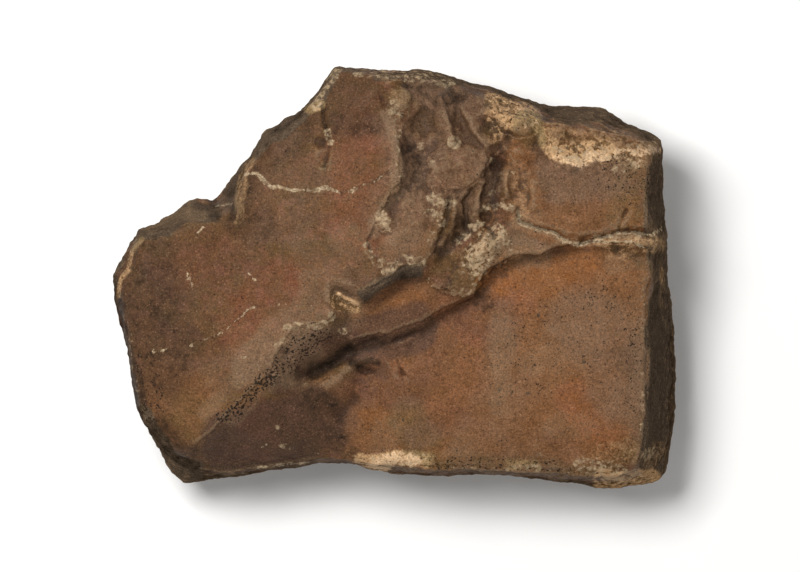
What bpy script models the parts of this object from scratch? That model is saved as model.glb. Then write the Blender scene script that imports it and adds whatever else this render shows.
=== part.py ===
"""A desert-weathered stone meteorite: one broken, wind-worn stone lying on a flat facet.

Lengths in the lists are millimetres and the model is in metres, +Z up. X runs along the stone's
longest way, and z = 0 is the flat facet that it lies on. The upper side is laid out as break
lines: the rims, feet and crests where its faces meet. The underside is laid out as rings below
the girth. Both are skinned, joined at the girth and rounded off, and then the small forms are
pressed in or raised.
"""

import bmesh
import bpy
import numpy as np
from mathutils import Vector, noise
from mathutils.geometry import delaunay_2d_cdt

MM = 0.001
STONE_NAME = "meteorite"

# How the rough shape becomes the finished solid.
VOXEL = 1.15  # mm, the even mesh that the small forms are pressed into
ROUNDING_PASSES = 3  # smoothing passes, which wear the edges to about 2 mm
ROUNDING_FACTOR = 0.5  # how far each pass moves a point toward its neighbours
SAME_POINT = 0.01  # mm, below which two corners on the girth are one
REST_CUT = 1.2  # mm taken off below, which leaves the facet that the stone lies on
TRIANGLES = 9400  # the finished solid's budget

# Where the small forms go, by a point's height in mm and the upward part of its normal.
UPPER_SIDE = 40  # knobs, hollows and cracks stay above this height
FACING_UP_START, FACING_UP_SPAN = 0.1, 0.3  # they grow to full strength over this range
FACING_DOWN_SPAN = 0.3  # the underside's waves grow to full strength over this range
CRACK_REACH = 1.6  # how far a crack's rounded lips go, as a multiple of its width
WORN_SHARE = 0.35  # roughness left on the wind-worn upper faces, where the flanks have 1

STONE_COLOUR = (0.165, 0.078, 0.041)
STONE_ROUGHNESS = 0.68

# The widest outline, seen from above, clockwise from the upper left corner.
GIRTH = [
    (-19.8, 68.1, 46), (-9, 67.1, 45), (3, 66.5, 44), (6, 67.6, 43), (17, 65, 41), (28, 62.5, 40),
    (40, 58, 38), (50, 55.7, 37), (66.5, 54.7, 36), (73, 50.3, 36), (81, 46.6, 38), (85.2, 44.9, 40),
    (85.9, 30, 38), (86.9, 17, 37), (86.8, 8, 35), (87.5, -5, 31), (89.3, -15, 28), (90, -30, 26),
    (89.7, -45, 26), (88, -58, 28), (86.5, -63, 30), (85, -64.7, 31), (78, -66.2, 33),
    (66, -66.8, 35), (55, -64.8, 37), (40, -63, 38), (28, -62.2, 39), (10, -62.5, 40),
    (0, -62, 40), (-8, -60.5, 40), (-16, -58.9, 40), (-26, -58.9, 39), (-37, -60.8, 36),
    (-50, -63, 33), (-60, -64.1, 30), (-69, -65.6, 28), (-73.4, -62.5, 29), (-76.8, -54.2, 32),
    (-79, -49.5, 36), (-82, -44.5, 42), (-84, -40, 46), (-85, -31, 48), (-87, -18, 50),
    (-90.3, -8, 52), (-91.1, 1.2, 54), (-87, 7.9, 54), (-83, 15.6, 48), (-78, 16.6, 45),
    (-74.3, 19, 43), (-66.4, 25.4, 42), (-62, 25.1, 43), (-58.7, 23.3, 45), (-53.5, 31.3, 46),
    (-50, 36.4, 48), (-47, 38.4, 50), (-45.5, 41.3, 50), (-42.3, 47.1, 50), (-38.6, 47.4, 50),
    (-35.4, 50.6, 51), (-31.3, 52.7, 52), (-24.3, 60.5, 50),
]

# Below the girth, ring by ring, down to the facet that the stone lies on.
FLANK = [
    (-18, 62, 24), (5, 61, 20), (30, 56, 18), (52, 50, 17), (70, 46, 18), (80, 40, 20),
    (81.5, 20, 16), (82, 0, 12), (83, -25, 9), (82, -50, 10), (76, -60, 12), (55, -60, 13),
    (30, -57, 14), (5, -56, 15), (-20, -54, 14), (-45, -56, 12), (-64, -58, 12), (-70, -52, 15),
    (-77, -38, 20), (-79, -18, 22), (-81, 0, 24), (-76, 11, 24), (-62, 18, 22), (-52, 24, 22),
    (-45, 33, 24), (-36, 43, 24), (-27, 51, 25),
]
BELLY = [
    (-50, -40, 8), (-15, -46, 6), (30, -47, 6), (62, -44, 5), (70, -15, 5), (66, 18, 8),
    (45, 36, 9), (10, 44, 11), (-20, 40, 13), (-42, 22, 13), (-60, 0, 13), (-64, -25, 12),
]
FOOT = [
    (-28, -22, 0), (-5, -30, 0), (24, -28, 0), (42, -12, 0), (40, 10, 0), (20, 24, 0),
    (-8, 26, 0), (-30, 12, 0), (-36, -6, 0),
]

# The upper side's break lines. The left plateau is the high, smooth face left of the middle.
LEFT_EDGE = [
    (-80, 12.5, 62), (-83.5, 1, 62), (-87, -8, 61), (-85.6, -18, 60.5), (-83.6, -31, 60),
    (-82.4, -40.5, 59), (-79.8, -46.3, 57.5), (-76, -50.5, 57), (-71, -54.5, 56.5),
    (-66.5, -57.5, 55), (-62, -60.3, 50),
]
CORNER_FOOT = [(-77.2, -52, 50), (-71.8, -57, 49), (-66.5, -60.8, 47)]
UPPER_LEFT_EDGE = [
    (-80, 12.5, 62), (-73, 14.3, 62.2), (-66, 17.3, 62.8), (-60, 18.3, 63.2), (-56, 18, 63.7),
    (-51.3, 18.5, 64.3), (-50.7, 24, 64.5), (-49.2, 30, 65), (-46.8, 36, 65), (-44, 39.5, 65.3),
    (-40, 44.5, 65.8), (-35, 47.5, 66.3), (-30.5, 50.8, 66.5), (-26, 56, 67), (-21.5, 63, 66.5),
    (-18.6, 65.8, 66),
]
TOP_EDGE = [(-18.6, 65.8, 66), (-10, 65, 66.8), (-6, 64.3, 67.5), (2, 64, 66.5)]
LEFT_FACET_CREST = [(-58.5, 22, 52), (-52.6, 23.5, 58)]
LOWER_RIDGE = [
    (-66.5, -57.5, 55), (-64, -53.5, 61.3), (-59, -49, 64.3), (-55, -44.5, 66.3),
    (-50, -39.5, 68), (-45, -34.5, 69.3), (-40, -30, 70.3), (-38.5, -25, 71), (-36, -20, 71.8),
    (-32.5, -16, 72.3), (-27, -15, 72.8), (-22, -13.8, 73), (-19.5, -11.5, 73.2),
    (-21.3, -8.5, 73.6), (-21, -0.8, 74.4), (-10.5, -3.9, 74), (-5.5, -1.2, 74.2),
    (-1, 1.2, 74), (1.5, 3.5, 73.6), (5, 4.3, 73), (8.5, 4.2, 72.2), (10.8, 2.2, 69.5),
]
RIDGE_SHOULDER = [
    (-47, -41, 65.8), (-40, -36, 67.4), (-34.5, -31, 67.6), (-32, -24, 69.4), (-28, -19, 70.3),
    (-21, -17, 69.8),
]
BREAK_RIM = [
    (-6, 60, 72.5), (-4.5, 54, 73.8), (-1, 51.5, 74.5), (0.5, 47, 75), (1.2, 41, 75.3),
    (1, 35.5, 75.5), (1.5, 32.5, 75.3), (-0.5, 29, 75.2), (-2.7, 25.5, 75), (-4.8, 21.5, 74.8),
    (-6.5, 18, 74.6), (-8, 14.5, 74.5), (-9.7, 11.5, 74.5), (-8.5, 8, 74.4), (-5.5, 5.3, 74.2),
]
BREAK_FOOT = [
    (-2.2, 60, 71.2), (-0.5, 55, 72), (3, 50, 72), (4.2, 45, 71.6), (4.6, 40, 71.6),
    (4.6, 36.5, 72), (3.9, 32.5, 72.4), (1.7, 28.6, 72.4), (-0.2, 24.6, 72.4), (-2.6, 21.5, 72.8),
]

# The broken middle: an island level with the plateau, a smooth slab, and gullies between.
ISLAND = [
    (0.5, 22.5, 73.4), (5, 25, 73.4), (13, 26, 72.8), (17, 24, 71.8), (15, 20, 72.2),
    (14.5, 15, 72), (12, 8.7, 71.4), (8.7, 6.3, 72.2), (3, 6, 73), (-3.5, 6.8, 73.6),
    (-6.6, 11.5, 73.6), (-3.5, 15, 73.5),
]
SLAB = [
    (13, 40, 73), (20, 41.3, 73), (26, 41, 72.3), (30, 38, 71.2), (28, 34.5, 71.4), (24, 30, 71.8),
    (21, 28, 71.8), (16, 28.3, 72.3), (12.7, 33, 73),
]
SLAB_FOOT = [
    (10.5, 33.5, 70.6), (10.5, 41, 70.6), (16, 43.5, 70.3), (26, 43.3, 69), (31.8, 39, 67.6),
    (30.3, 34, 67.6), (26.5, 29, 67.8), (22.6, 26.4, 68.4), (19, 26.3, 70),
]
WAVE_NEAR = [(14, 62, 67), (16.8, 57.5, 70.3), (17.3, 51, 71.5), (19, 46.5, 71.3)]
WAVE_TROUGH = [(19.3, 61, 65), (20.8, 54, 68.4), (21.3, 48, 68.8)]
WAVE_FAR = [(25, 58, 67.3), (24.5, 51, 69.5), (25.6, 46.3, 70.2), (29.5, 42.7, 69.6)]
GULLY = [
    (33.2, 41.5, 67.6), (33.3, 36, 66.4), (31.8, 31, 66), (30.3, 25, 66.3), (28.6, 18.5, 67.6),
]
SECOND_GULLY = [(23.6, 24.5, 67.4), (22.4, 17.5, 67.3), (18.6, 12.6, 67.2), (14.8, 7.6, 67)]
BETWEEN_GULLIES = [(26.2, 24.5, 69.7), (25.3, 17.5, 69.4), (23, 11, 68.8)]

# The rim of the lower step: the crusty lobes, and the ledge of the upper right face.
LEDGE_RIM = [
    (11.8, -2, 67.6), (14, -3.5, 67.3), (17, -3.4, 67.3), (19.2, -5, 67), (22, -6.1, 67),
    (25.2, -5, 67), (26.3, -1.5, 67.3), (27.8, 1, 67.5), (30, 3, 67.8), (33, 5, 68),
    (38, 7.4, 68), (42, 8.2, 68.2), (46, 7.7, 68.4), (50, 9.7, 68.6), (56, 11.1, 68.8),
    (63, 11.6, 68.8), (69, 11.5, 68), (75, 11.3, 67.2), (80.3, 9.8, 66), (83.6, 10.8, 64),
]
LEDGE_FOOT = [
    (24.4, -7, 62.2), (26.8, -5.2, 62.3), (28, -1.8, 62.6), (30.8, 1, 63), (34, 3.3, 63.4),
    (38.4, 5.6, 63.8), (42.4, 6.5, 64.1), (46.4, 6, 64.3), (50.6, 8, 64.6), (56, 9.5, 64.8),
    (64, 10, 64.8), (75, 9.8, 64.2), (81, 8, 62.8),
]
STEP_RIM = [
    (-15, -19.5, 65.6), (-10, -18.9, 65.6), (-5, -17.6, 65.6), (-3, -18, 65.3),
    (0.5, -16.2, 65.3), (5, -15, 65.2), (8.3, -13.5, 65.2), (12, -11.4, 65.2),
    (15, -9.6, 65.4), (18.5, -7.9, 65.8),
]
STEP_FOOT = [
    (-31, -30.5, 63), (-27, -31, 61.2), (-22, -29, 60.2), (-17, -26, 60.4), (-14, -23.8, 60.8),
    (-10, -22.2, 60.8), (-5, -20.6, 61), (0, -21, 61), (4.3, -20, 61), (8.2, -17.2, 61.2),
    (11, -14.3, 61.4), (15.6, -11.3, 61.8), (20, -8.8, 62), (24.4, -7, 62.2),
]
TONGUE_LEFT = [(-16, -11.2, 68.6), (-17.5, -15, 67.8), (-15, -19.5, 65.6)]
WALL_FOOT = [
    (-12.4, -8.2, 69.7), (-9.4, -6.9, 69), (-6, -7, 68.2), (-2.5, -5.2, 67.7), (0, -3.2, 67.5),
    (2.5, -0.7, 67.6), (6, 0.2, 68.2), (9.5, -0.6, 67.8),
]
NOTCH_FLOOR = [(-20.2, -8.2, 71.4), (-18.8, -4, 70.4), (-12.4, -8.2, 69.7), (-16, -11.2, 68.6)]
TONGUE_CREST = [(-13, -14, 67.3), (-5, -12, 66.6), (2, -8, 66.9), (9, -5.5, 66.8)]
LOW_CREST = [
    (-32.5, -34.5, 65), (-24, -33, 63.6), (-19, -30.3, 63), (-13, -27.3, 62.5),
    (-8, -26.4, 62.2), (-3, -26, 61.9),
]
LOW_FOOT = [(-15, -31.5, 60.2), (-8, -31.2, 59.8), (-4.8, -29, 60.6)]
VALLEY = [(-10, -34, 60), (-13, -38.5, 59), (-16.5, -44, 57.6), (-20, -50, 55.8), (-22, -57, 52)]
HOLLOW_SIDE = [(-29.5, -25, 66.8), (-24, -21.5, 66.3), (-19.5, -19.5, 66.2)]

# The right-hand faces and the lower edge.
UPPER_RIGHT_RIM = [
    (47.5, 43.5, 69.6), (50, 40.4, 69.6), (55, 37.6, 69.4), (62, 37.3, 69), (70, 37.8, 68.6),
    (77, 38.3, 67.6), (82, 40.8, 64.5),
]
TAN_BEVEL = [
    (47.5, 50, 66.6), (55, 48.4, 65.6), (65, 46.6, 64.6), (75, 45.2, 62.4), (82, 40.8, 64.5),
]
RIGHT_UPPER_EDGE = [
    (82, 40.8, 64.5), (80.5, 35, 66.8), (80.1, 28, 67.2), (80.3, 22, 67.2), (80.8, 16.5, 66.8),
    (83.6, 10.8, 64),
]
RIGHT_LOWER_EDGE = [
    (81, 8, 62.8), (81.6, 1, 62.4), (80, -4, 62.6), (79.8, -15, 62.2), (79.8, -30, 61.6),
    (79.8, -42, 60.8), (79, -50, 60), (78.4, -55, 58.8), (77, -60, 56),
]
BOTTOM_EDGE = [
    (77, -60, 56), (70, -62.4, 54.5), (63, -62.6, 55), (55, -62, 55.5), (45, -61.5, 56),
    (38, -60.9, 56.5), (25, -60.5, 56.8), (10, -60.4, 56.8), (0, -59, 56.6), (-8, -58.5, 55.6),
    (-16, -57.4, 54), (-22, -57, 52), (-33, -58, 50), (-44, -60, 48.6), (-54, -61.4, 48.6),
    (-62, -60.3, 50),
]
BACK_EDGE = [
    (2, 64, 66.5), (8, 64.4, 63.5), (17, 62.4, 62), (24, 60.8, 61), (31, 59, 61), (38, 56.2, 61),
    (45, 53.4, 61),
]
TAN_LOBE = [
    (27.6, 54.5, 68.6), (31, 52.3, 69.6), (34.5, 49, 70.4), (38, 47, 71.2), (42, 46.6, 71.2),
    (46, 49, 69),
]
TAN_LOBE_FOOT = [(30.5, 48.8, 68), (34, 45.3, 68.2), (40, 43, 68.8), (44.3, 44.6, 69)]
ORANGE_GROOVE = [(44, 36, 68), (42.2, 30, 67.7), (44.4, 25, 67.7), (43, 19.5, 67.8)]

UPPER_LINES = [
    LEFT_EDGE, CORNER_FOOT, UPPER_LEFT_EDGE, TOP_EDGE, LEFT_FACET_CREST, LOWER_RIDGE,
    RIDGE_SHOULDER, BREAK_RIM, BREAK_FOOT, WAVE_NEAR, WAVE_TROUGH, WAVE_FAR, GULLY, SECOND_GULLY,
    BETWEEN_GULLIES, LEDGE_RIM, LEDGE_FOOT, STEP_RIM, STEP_FOOT, TONGUE_LEFT, WALL_FOOT,
    NOTCH_FLOOR, SLAB_FOOT, TONGUE_CREST, LOW_CREST, LOW_FOOT, VALLEY, HOLLOW_SIDE, UPPER_RIGHT_RIM,
    TAN_BEVEL, RIGHT_UPPER_EDGE, RIGHT_LOWER_EDGE, BOTTOM_EDGE, BACK_EDGE, TAN_LOBE,
    TAN_LOBE_FOOT, ORANGE_GROOVE,
]
UPPER_RINGS = [ISLAND, SLAB]

# Heights inside the faces, where no line passes.
UPPER_SPOTS = [
    (-70, -5, 66.3), (-72, -30, 64.5), (-60, -35, 67.4), (-62, 5, 67.3), (-45, 15, 70.6),
    (-48, -20, 70.5), (-30, 0, 73.3), (-30, 30, 72.2), (-20, 50, 71.4), (-12, 20, 75),
    (-12, 40, 74.4), (-38, 36, 69), (-12, 58, 71.4), (-68, -46, 62.3), (4, 15, 73.8),
    (9, 51, 70.2), (8, 46, 70.6), (8, 56.5, 70.2), (8, 61, 68.3), (7.5, 37, 70.4), (8.5, 29.5, 71.4),
    (20, 35, 73.2), (29.5, 55, 67.2), (29, 47, 68.4), (37, 36, 68.8), (37, 26, 68.4),
    (37.5, 16, 68.4), (28.5, 9.5, 69.4), (32, 12, 69), (21, 3, 68.4), (17, 2, 68.2), (39, 41, 69.4),
    (55, 25, 69.8), (70, 25, 69.4), (58, 17, 69.6), (73, 17, 68.8), (50, 33, 69.6),
    (38, 51, 69.4), (42, 53, 66.8), (56, 43, 68), (70, 42, 66.8),
    (0, -34, 61.8), (5, -47, 60), (-8, -44, 59.6), (20, -30, 62.6), (20, -50, 60),
    (45, -5, 64.4), (45, -25, 63.6), (45, -46, 61.6), (65, -10, 64), (66, -30, 63),
    (66, -50, 60.6), (30, -8, 63.4), (12, -22, 62.4), (5, -55, 58.6), (45, -56, 59.4),
    (-45, -51, 58.6), (-35, -42, 62.4), (-28, -51, 56.8), (-24, -41, 60.4), (-38, -55, 54.4),
    (-56, -56, 54),
]

# Small forms, each as (x, y, radius, height): knobs of harder grains and crusts of caliche.
KNOBS = [
    (1, 57, 4.6, 2.6), (-2.2, 64.2, 3.6, 2.4), (-3.5, 18, 3.2, 1.6), (18.6, 43, 2.2, 1.5),
    (8, 41.8, 1.5, 1.1), (11.1, 37, 1.5, 1.4), (6, 5.6, 2, 0.9), (14.6, 24.4, 2.6, 0.9),
    (28.5, 10, 3.4, 1.5), (25.5, 6.5, 3, 1.3), (30.5, 6, 2.6, 1), (40, 48.4, 4.6, 1.2),
    (8, 63.3, 2.6, 1.2), (-20.7, -11.3, 1.8, 1.1), (-8.2, 7, 1.6, 0.8), (21, 14, 2, 0.9),
    (27.5, 27.5, 2, 0.9), (36.5, 22.5, 2.2, 0.8),
]
# Hollows, each as (x, y, radius, depth).
HOLLOWS = [
    (-24.2, 43.4, 3, 1.4), (-5.6, 58, 2.2, 1), (9, 50, 5.5, 0.8), (33, 36, 2.6, 1.2),
    (28.5, 20.5, 2.4, 1), (1.8, -30.4, 1.6, 1), (-25.5, -28.5, 4.5, 1), (66.5, 12.6, 2, 1.2),
    (85, 14.6, 3, 3.2), (13.8, 8.8, 2, 0.8), (-4.6, 0.2, 2.2, 0.5), (-11, -29.4, 3, 0.6),
]
# Cracks in the upper side, each as (width, depth, points).
CRACKS = [
    (0.9, 0.9, [(39.3, 21.5), (39.7, 18), (42, 17.2), (46, 16), (51, 14.6), (54, 12.6), (60, 11.9)]),
    (1.3, 1.7, [(60, 11.9), (63, 12.3), (66.5, 13), (70, 14.6), (76, 14.7), (82, 14.2), (86.5, 16.6)]),
    (0.9, 0.8, [(73.5, 21.5), (72.2, 18.5), (71.2, 16)]),
    (0.9, 0.8, [(-23.4, 55), (-23, 50), (-22, 46), (-22.6, 40), (-23, 35)]),
    (0.8, 0.6, [(-80, 14), (-73, 15.6), (-66, 18.6), (-60, 19.4), (-56.5, 19)]),
]
# Thumbprint-like hollows melted and worn into the flanks and the underside, each as
# (x, y, z, radius, depth).
THUMBPRINTS = [
    (-52, -59, 18, 11, 2), (-38, -58, 26, 9, 1.6), (-8, -57, 22, 16, 2.8), (26, -59, 28, 12, 2.2),
    (38, -57, 15, 13, 2.4), (68, -62, 21, 14, 2.2), (87, -44, 16, 10, 1.8), (87, -26, 10, 15, 2.8),
    (84, 2, 24, 12, 1.8), (84, 27, 20, 14, 2.6), (64, 51, 26, 11, 2.2), (46, 54, 20, 9, 1.6),
    (22, 60, 27, 15, 2.8), (-6, 65, 31, 10, 1.8), (-28, 54, 36, 12, 2.2), (-48, 33, 27, 15, 2.6),
    (-71, 18, 35, 9, 1.6), (-86, 2, 30, 13, 2.2), (-84, -18, 34, 9, 1.6), (-80, -36, 26, 15, 2.6),
    (-58, -34, 7, 16, 2.8), (-30, -44, 5, 9, 1.6), (46, -40, 4, 11, 1.8), (62, 6, 6, 16, 2.6),
    (18, 42, 10, 12, 2.2), (-2, 44, 11, 10, 1.8), (-46, 16, 11, 14, 2.4), (38, 33, 8, 9, 1.4),
]
# Roughness, each as (size of the bumps, height): broad and mild, then finer.
ROUGHNESS = [(15, 0.35), (5, 0.26)]
# The underside is wavier: its bumps' size and height, and the height above which they fade in.
UNDERSIDE_WAVES = (27, 1.7)
WAVES_START, WAVES_FULL = 3, 12
# Where the upper side is broken and rough, as (x, y, radius, extra height of the bumps).
ROUGH_PLACES = [
    (20, 30, 26, 0.5), (8, 58, 14, 0.5), (26, 6, 12, 0.5), (-38, -30, 10, 0.4), (62, 50, 26, 0.6),
    (76, 13, 10, 0.4),
]


def clear_scene():
    for old in list(bpy.data.objects):
        bpy.data.objects.remove(old, do_unlink=True)


def triangulate(rings, lines, spots, outer):
    """Joins the points into triangles in plan, with every ring and line kept as edges."""
    points, number_of = [], {}

    def number(point):
        key = (round(point[0], 3), round(point[1], 3))
        if key not in number_of:
            number_of[key] = len(points)
            points.append(point)
        return number_of[key]

    edges = []
    for ring in [outer, *rings]:
        numbers = [number(point) for point in ring]
        edges += zip(numbers, numbers[1:] + numbers[:1], strict=True)
    for line in lines:
        numbers = [number(point) for point in line]
        edges += zip(numbers[:-1], numbers[1:], strict=True)
    for spot in spots:
        number(spot)
    border = [number(point) for point in outer]
    plan = [Vector(point[:2]) for point in points]
    flat, _, faces, _, _, _ = delaunay_2d_cdt(plan, edges, [border], 1, 1e-6)
    if len(flat) != len(points):
        crossings = [tuple(round(c, 1) for c in place) for place in flat[len(points):]]
        raise ValueError(f"break lines cross at {crossings}")
    return points, faces


def rough_stone():
    """The two skins, joined at the girth into one closed mesh, in millimetres."""
    upper, upper_faces = triangulate(UPPER_RINGS, UPPER_LINES, UPPER_SPOTS, GIRTH)
    lower, lower_faces = triangulate([FLANK, BELLY, FOOT], [], [], GIRTH)
    rough = bmesh.new()
    for points, faces, turned in ((upper, upper_faces, 1), (lower, lower_faces, -1)):
        corners = [rough.verts.new(point) for point in points]
        for face in faces:
            rough.faces.new([corners[i] for i in face[::turned]])
    bmesh.ops.remove_doubles(rough, verts=rough.verts, dist=SAME_POINT)
    bmesh.ops.recalc_face_normals(rough, faces=rough.faces)
    mesh = bpy.data.meshes.new("rough stone")
    rough.to_mesh(mesh)
    rough.free()
    return mesh


def with_modifiers(mesh, *settings):
    """The mesh after the given modifiers, each as (type, values)."""
    holder = bpy.data.objects.new("holder", mesh)
    bpy.context.scene.collection.objects.link(holder)
    for kind, values in settings:
        modifier = holder.modifiers.new(kind.lower(), kind)
        for name, value in values.items():
            setattr(modifier, name, value)
    graph = bpy.context.evaluated_depsgraph_get()
    result = bpy.data.meshes.new_from_object(holder.evaluated_get(graph))
    bpy.data.objects.remove(holder)
    return result


def points_and_normals(mesh):
    points = np.empty(len(mesh.vertices) * 3, np.float32)
    normals = np.empty(len(mesh.vertices) * 3, np.float32)
    mesh.vertices.foreach_get("co", points)
    mesh.vertices.foreach_get("normal", normals)
    return points.reshape(-1, 3).astype(float), normals.reshape(-1, 3).astype(float)


def dome(distance, radius):
    """1 in the middle, falling smoothly to 0 at the radius."""
    inside = np.clip(1 - (distance / radius) ** 2, 0, 1)
    return inside * inside * (3 - 2 * inside)


def distance_to_line(plan, line):
    """Each point's distance in plan from a line through the given points."""
    nearest = np.full(len(plan), np.inf)
    for start, end in zip(line[:-1], line[1:], strict=True):
        start, along = np.array(start), np.subtract(end, start)
        share = np.clip((plan - start) @ along / (along @ along), 0, 1)
        nearest = np.minimum(nearest, np.linalg.norm(plan - start - share[:, None] * along, axis=1))
    return nearest


def bumps(points, size):
    """Smooth noise between -1 and 1, with bumps of about the given size."""
    return np.array([noise.noise(Vector(point / size)) for point in points])


def press_small_forms(mesh):
    """Raises the knobs, presses in the hollows, cracks and thumbprints, and roughens the stone."""
    points, normals = points_and_normals(mesh)
    plan = points[:, :2]
    facing_up = np.clip((normals[:, 2] - FACING_UP_START) / FACING_UP_SPAN, 0, 1)
    facing_up *= points[:, 2] > UPPER_SIDE
    rise = np.zeros(len(points))
    for x, y, radius, height in KNOBS:
        rise += height * dome(np.linalg.norm(plan - (x, y), axis=1), radius)
    for x, y, radius, depth in HOLLOWS:
        rise -= depth * dome(np.linalg.norm(plan - (x, y), axis=1), radius)
    for width, depth, line in CRACKS:
        rise -= depth * dome(distance_to_line(plan, line), CRACK_REACH * width)
    points[:, 2] += rise * facing_up
    swell = np.zeros(len(points))
    for x, y, z, radius, depth in THUMBPRINTS:
        swell -= depth * dome(np.linalg.norm(points - (x, y, z), axis=1), radius)
    how_rough = WORN_SHARE + (1 - WORN_SHARE) * (1 - facing_up)
    for x, y, radius, extra in ROUGH_PLACES:
        how_rough += extra * dome(np.linalg.norm(plan - (x, y), axis=1), radius)
    for size, height in ROUGHNESS:
        swell += height * how_rough * bumps(points, size)
    facing_down = np.clip(-normals[:, 2] / FACING_DOWN_SPAN, 0, 1)
    above_foot = np.clip((points[:, 2] - WAVES_START) / (WAVES_FULL - WAVES_START), 0, 1)
    wave_size, wave_height = UNDERSIDE_WAVES
    swell += wave_height * facing_down * above_foot * bumps(points, wave_size)
    points += normals * swell[:, None]
    mesh.vertices.foreach_set("co", points.astype(np.float32).ravel())
    mesh.update()


def lay_flat(mesh):
    """Cuts the facet that the stone lies on, and centres the stone over the origin, in metres."""
    stone = bmesh.new()
    stone.from_mesh(mesh)
    everything = [*stone.verts, *stone.edges, *stone.faces]
    cut = bmesh.ops.bisect_plane(
        stone, geom=everything, plane_co=(0, 0, REST_CUT), plane_no=(0, 0, -1), clear_outer=True
    )
    rim = [edge for edge in cut["geom_cut"] if isinstance(edge, bmesh.types.BMEdge)]
    for vert in {vert for edge in rim for vert in edge.verts}:
        vert.co.z = REST_CUT
    facet = bmesh.ops.contextual_create(stone, geom=rim)["faces"]
    bmesh.ops.triangulate(stone, faces=facet)
    bmesh.ops.recalc_face_normals(stone, faces=stone.faces)
    spread = np.array([vert.co[:2] for vert in stone.verts])
    middle = (spread.min(axis=0) + spread.max(axis=0)) / 2
    for vert in stone.verts:
        vert.co = (vert.co - Vector((*middle, REST_CUT))) * MM
    stone.to_mesh(mesh)
    stone.free()


def stone_material():
    material = bpy.data.materials.new("weathered stone")
    material.use_nodes = True
    shader = material.node_tree.nodes["Principled BSDF"]
    shader.inputs["Base Color"].default_value = (*STONE_COLOUR, 1)
    shader.inputs["Roughness"].default_value = STONE_ROUGHNESS
    shader.inputs["Metallic"].default_value = 0
    return material


def make_stone():
    even = with_modifiers(
        rough_stone(),
        ("REMESH", {"mode": "VOXEL", "voxel_size": VOXEL}),
        ("SMOOTH", {"factor": ROUNDING_FACTOR, "iterations": ROUNDING_PASSES}),
    )
    press_small_forms(even)
    even.calc_loop_triangles()
    share = TRIANGLES / len(even.loop_triangles)
    mesh = with_modifiers(even, ("TRIANGULATE", {}), ("DECIMATE", {"ratio": share}))
    lay_flat(mesh)
    mesh.name = STONE_NAME
    mesh.materials.append(stone_material())
    mesh.shade_smooth()
    return bpy.data.objects.new(STONE_NAME, mesh)


def main():
    clear_scene()
    collection = bpy.data.collections.new("Meteorite")
    bpy.context.scene.collection.children.link(collection)
    collection.objects.link(make_stone())


main()
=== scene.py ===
# %% [markdown]
# # A desert-weathered stone meteorite
#
# The object is one broken piece of an ordinary chondrite, a stony meteorite that lay for
# thousands of years in a desert. Wind and water gave its flat faces a thin brown skin of
# desert varnish. Iron in the stone rusted through in red and orange patches, and lime from
# the ground, called caliche, filled the cracks and dried on the rims as pale crumbs.
#
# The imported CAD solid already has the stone's faces, rims and gullies. This lesson takes it
# as a fixed frame, gives it a fine skin, carves what is too small for a CAD solid, and then
# builds the one material that all the weathering is painted in.

import bpy
import numpy as np
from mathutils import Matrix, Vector, noise


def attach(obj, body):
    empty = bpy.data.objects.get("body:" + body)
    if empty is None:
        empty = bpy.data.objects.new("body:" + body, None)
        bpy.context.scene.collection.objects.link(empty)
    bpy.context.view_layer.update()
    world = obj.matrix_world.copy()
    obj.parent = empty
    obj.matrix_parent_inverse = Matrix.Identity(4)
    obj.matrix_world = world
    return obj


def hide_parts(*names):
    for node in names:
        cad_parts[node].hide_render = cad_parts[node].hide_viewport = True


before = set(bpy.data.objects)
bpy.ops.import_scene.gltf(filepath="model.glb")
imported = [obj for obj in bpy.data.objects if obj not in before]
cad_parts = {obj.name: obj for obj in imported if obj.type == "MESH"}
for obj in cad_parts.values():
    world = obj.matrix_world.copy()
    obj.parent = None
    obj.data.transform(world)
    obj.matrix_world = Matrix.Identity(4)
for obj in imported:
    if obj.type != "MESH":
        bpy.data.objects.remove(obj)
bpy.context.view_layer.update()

MM = 0.001  # the model is in metres, and the lists below are in millimetres
stone_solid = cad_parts["meteorite"]

# %% [markdown]
# ## A fine skin over the solid
#
# On the real stone the rims are crisp to half a millimetre, and the solid's triangles are
# two or three millimetres wide. Subdividing them would keep their long, thin shapes and
# show them in the gloss. A voxel remesh lays an even grid of small squares over the solid
# instead, and a few smoothing passes take away the old facets. That even grid is what the
# carving below needs.

# %% Give the stone its fine skin
SKIN_PITCH = 0.5  # mm between the points of the skin
SKIN_SMOOTHING = 5  # passes that take the CAD solid's facets away


def placed(name, data):
    """A new object, linked into the scene."""
    thing = bpy.data.objects.new(name, data)
    bpy.context.scene.collection.objects.link(thing)
    return thing


def after_modifiers(mesh, *steps, weights=None):
    """The mesh after some modifiers, each as (kind, settings); weights fill a vertex group."""
    holder = placed("holder", mesh)
    if weights is not None:
        group = holder.vertex_groups.new(name="weights")
        for level in np.unique(weights):
            group.add(np.nonzero(weights == level)[0].tolist(), float(level), "REPLACE")
    for kind, settings in steps:
        modifier = holder.modifiers.new(kind.lower(), kind)
        for name, value in settings.items():
            setattr(modifier, name, value)
    graph = bpy.context.evaluated_depsgraph_get()
    result = bpy.data.meshes.new_from_object(holder.evaluated_get(graph))
    bpy.data.objects.remove(holder)
    return result


skin = after_modifiers(
    stone_solid.data.copy(),
    ("REMESH", {"mode": "VOXEL", "voxel_size": SKIN_PITCH * MM}),
    ("SMOOTH", {"factor": 0.5, "iterations": SKIN_SMOOTHING}),
)
print("skin:", len(skin.vertices), "points")

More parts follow.
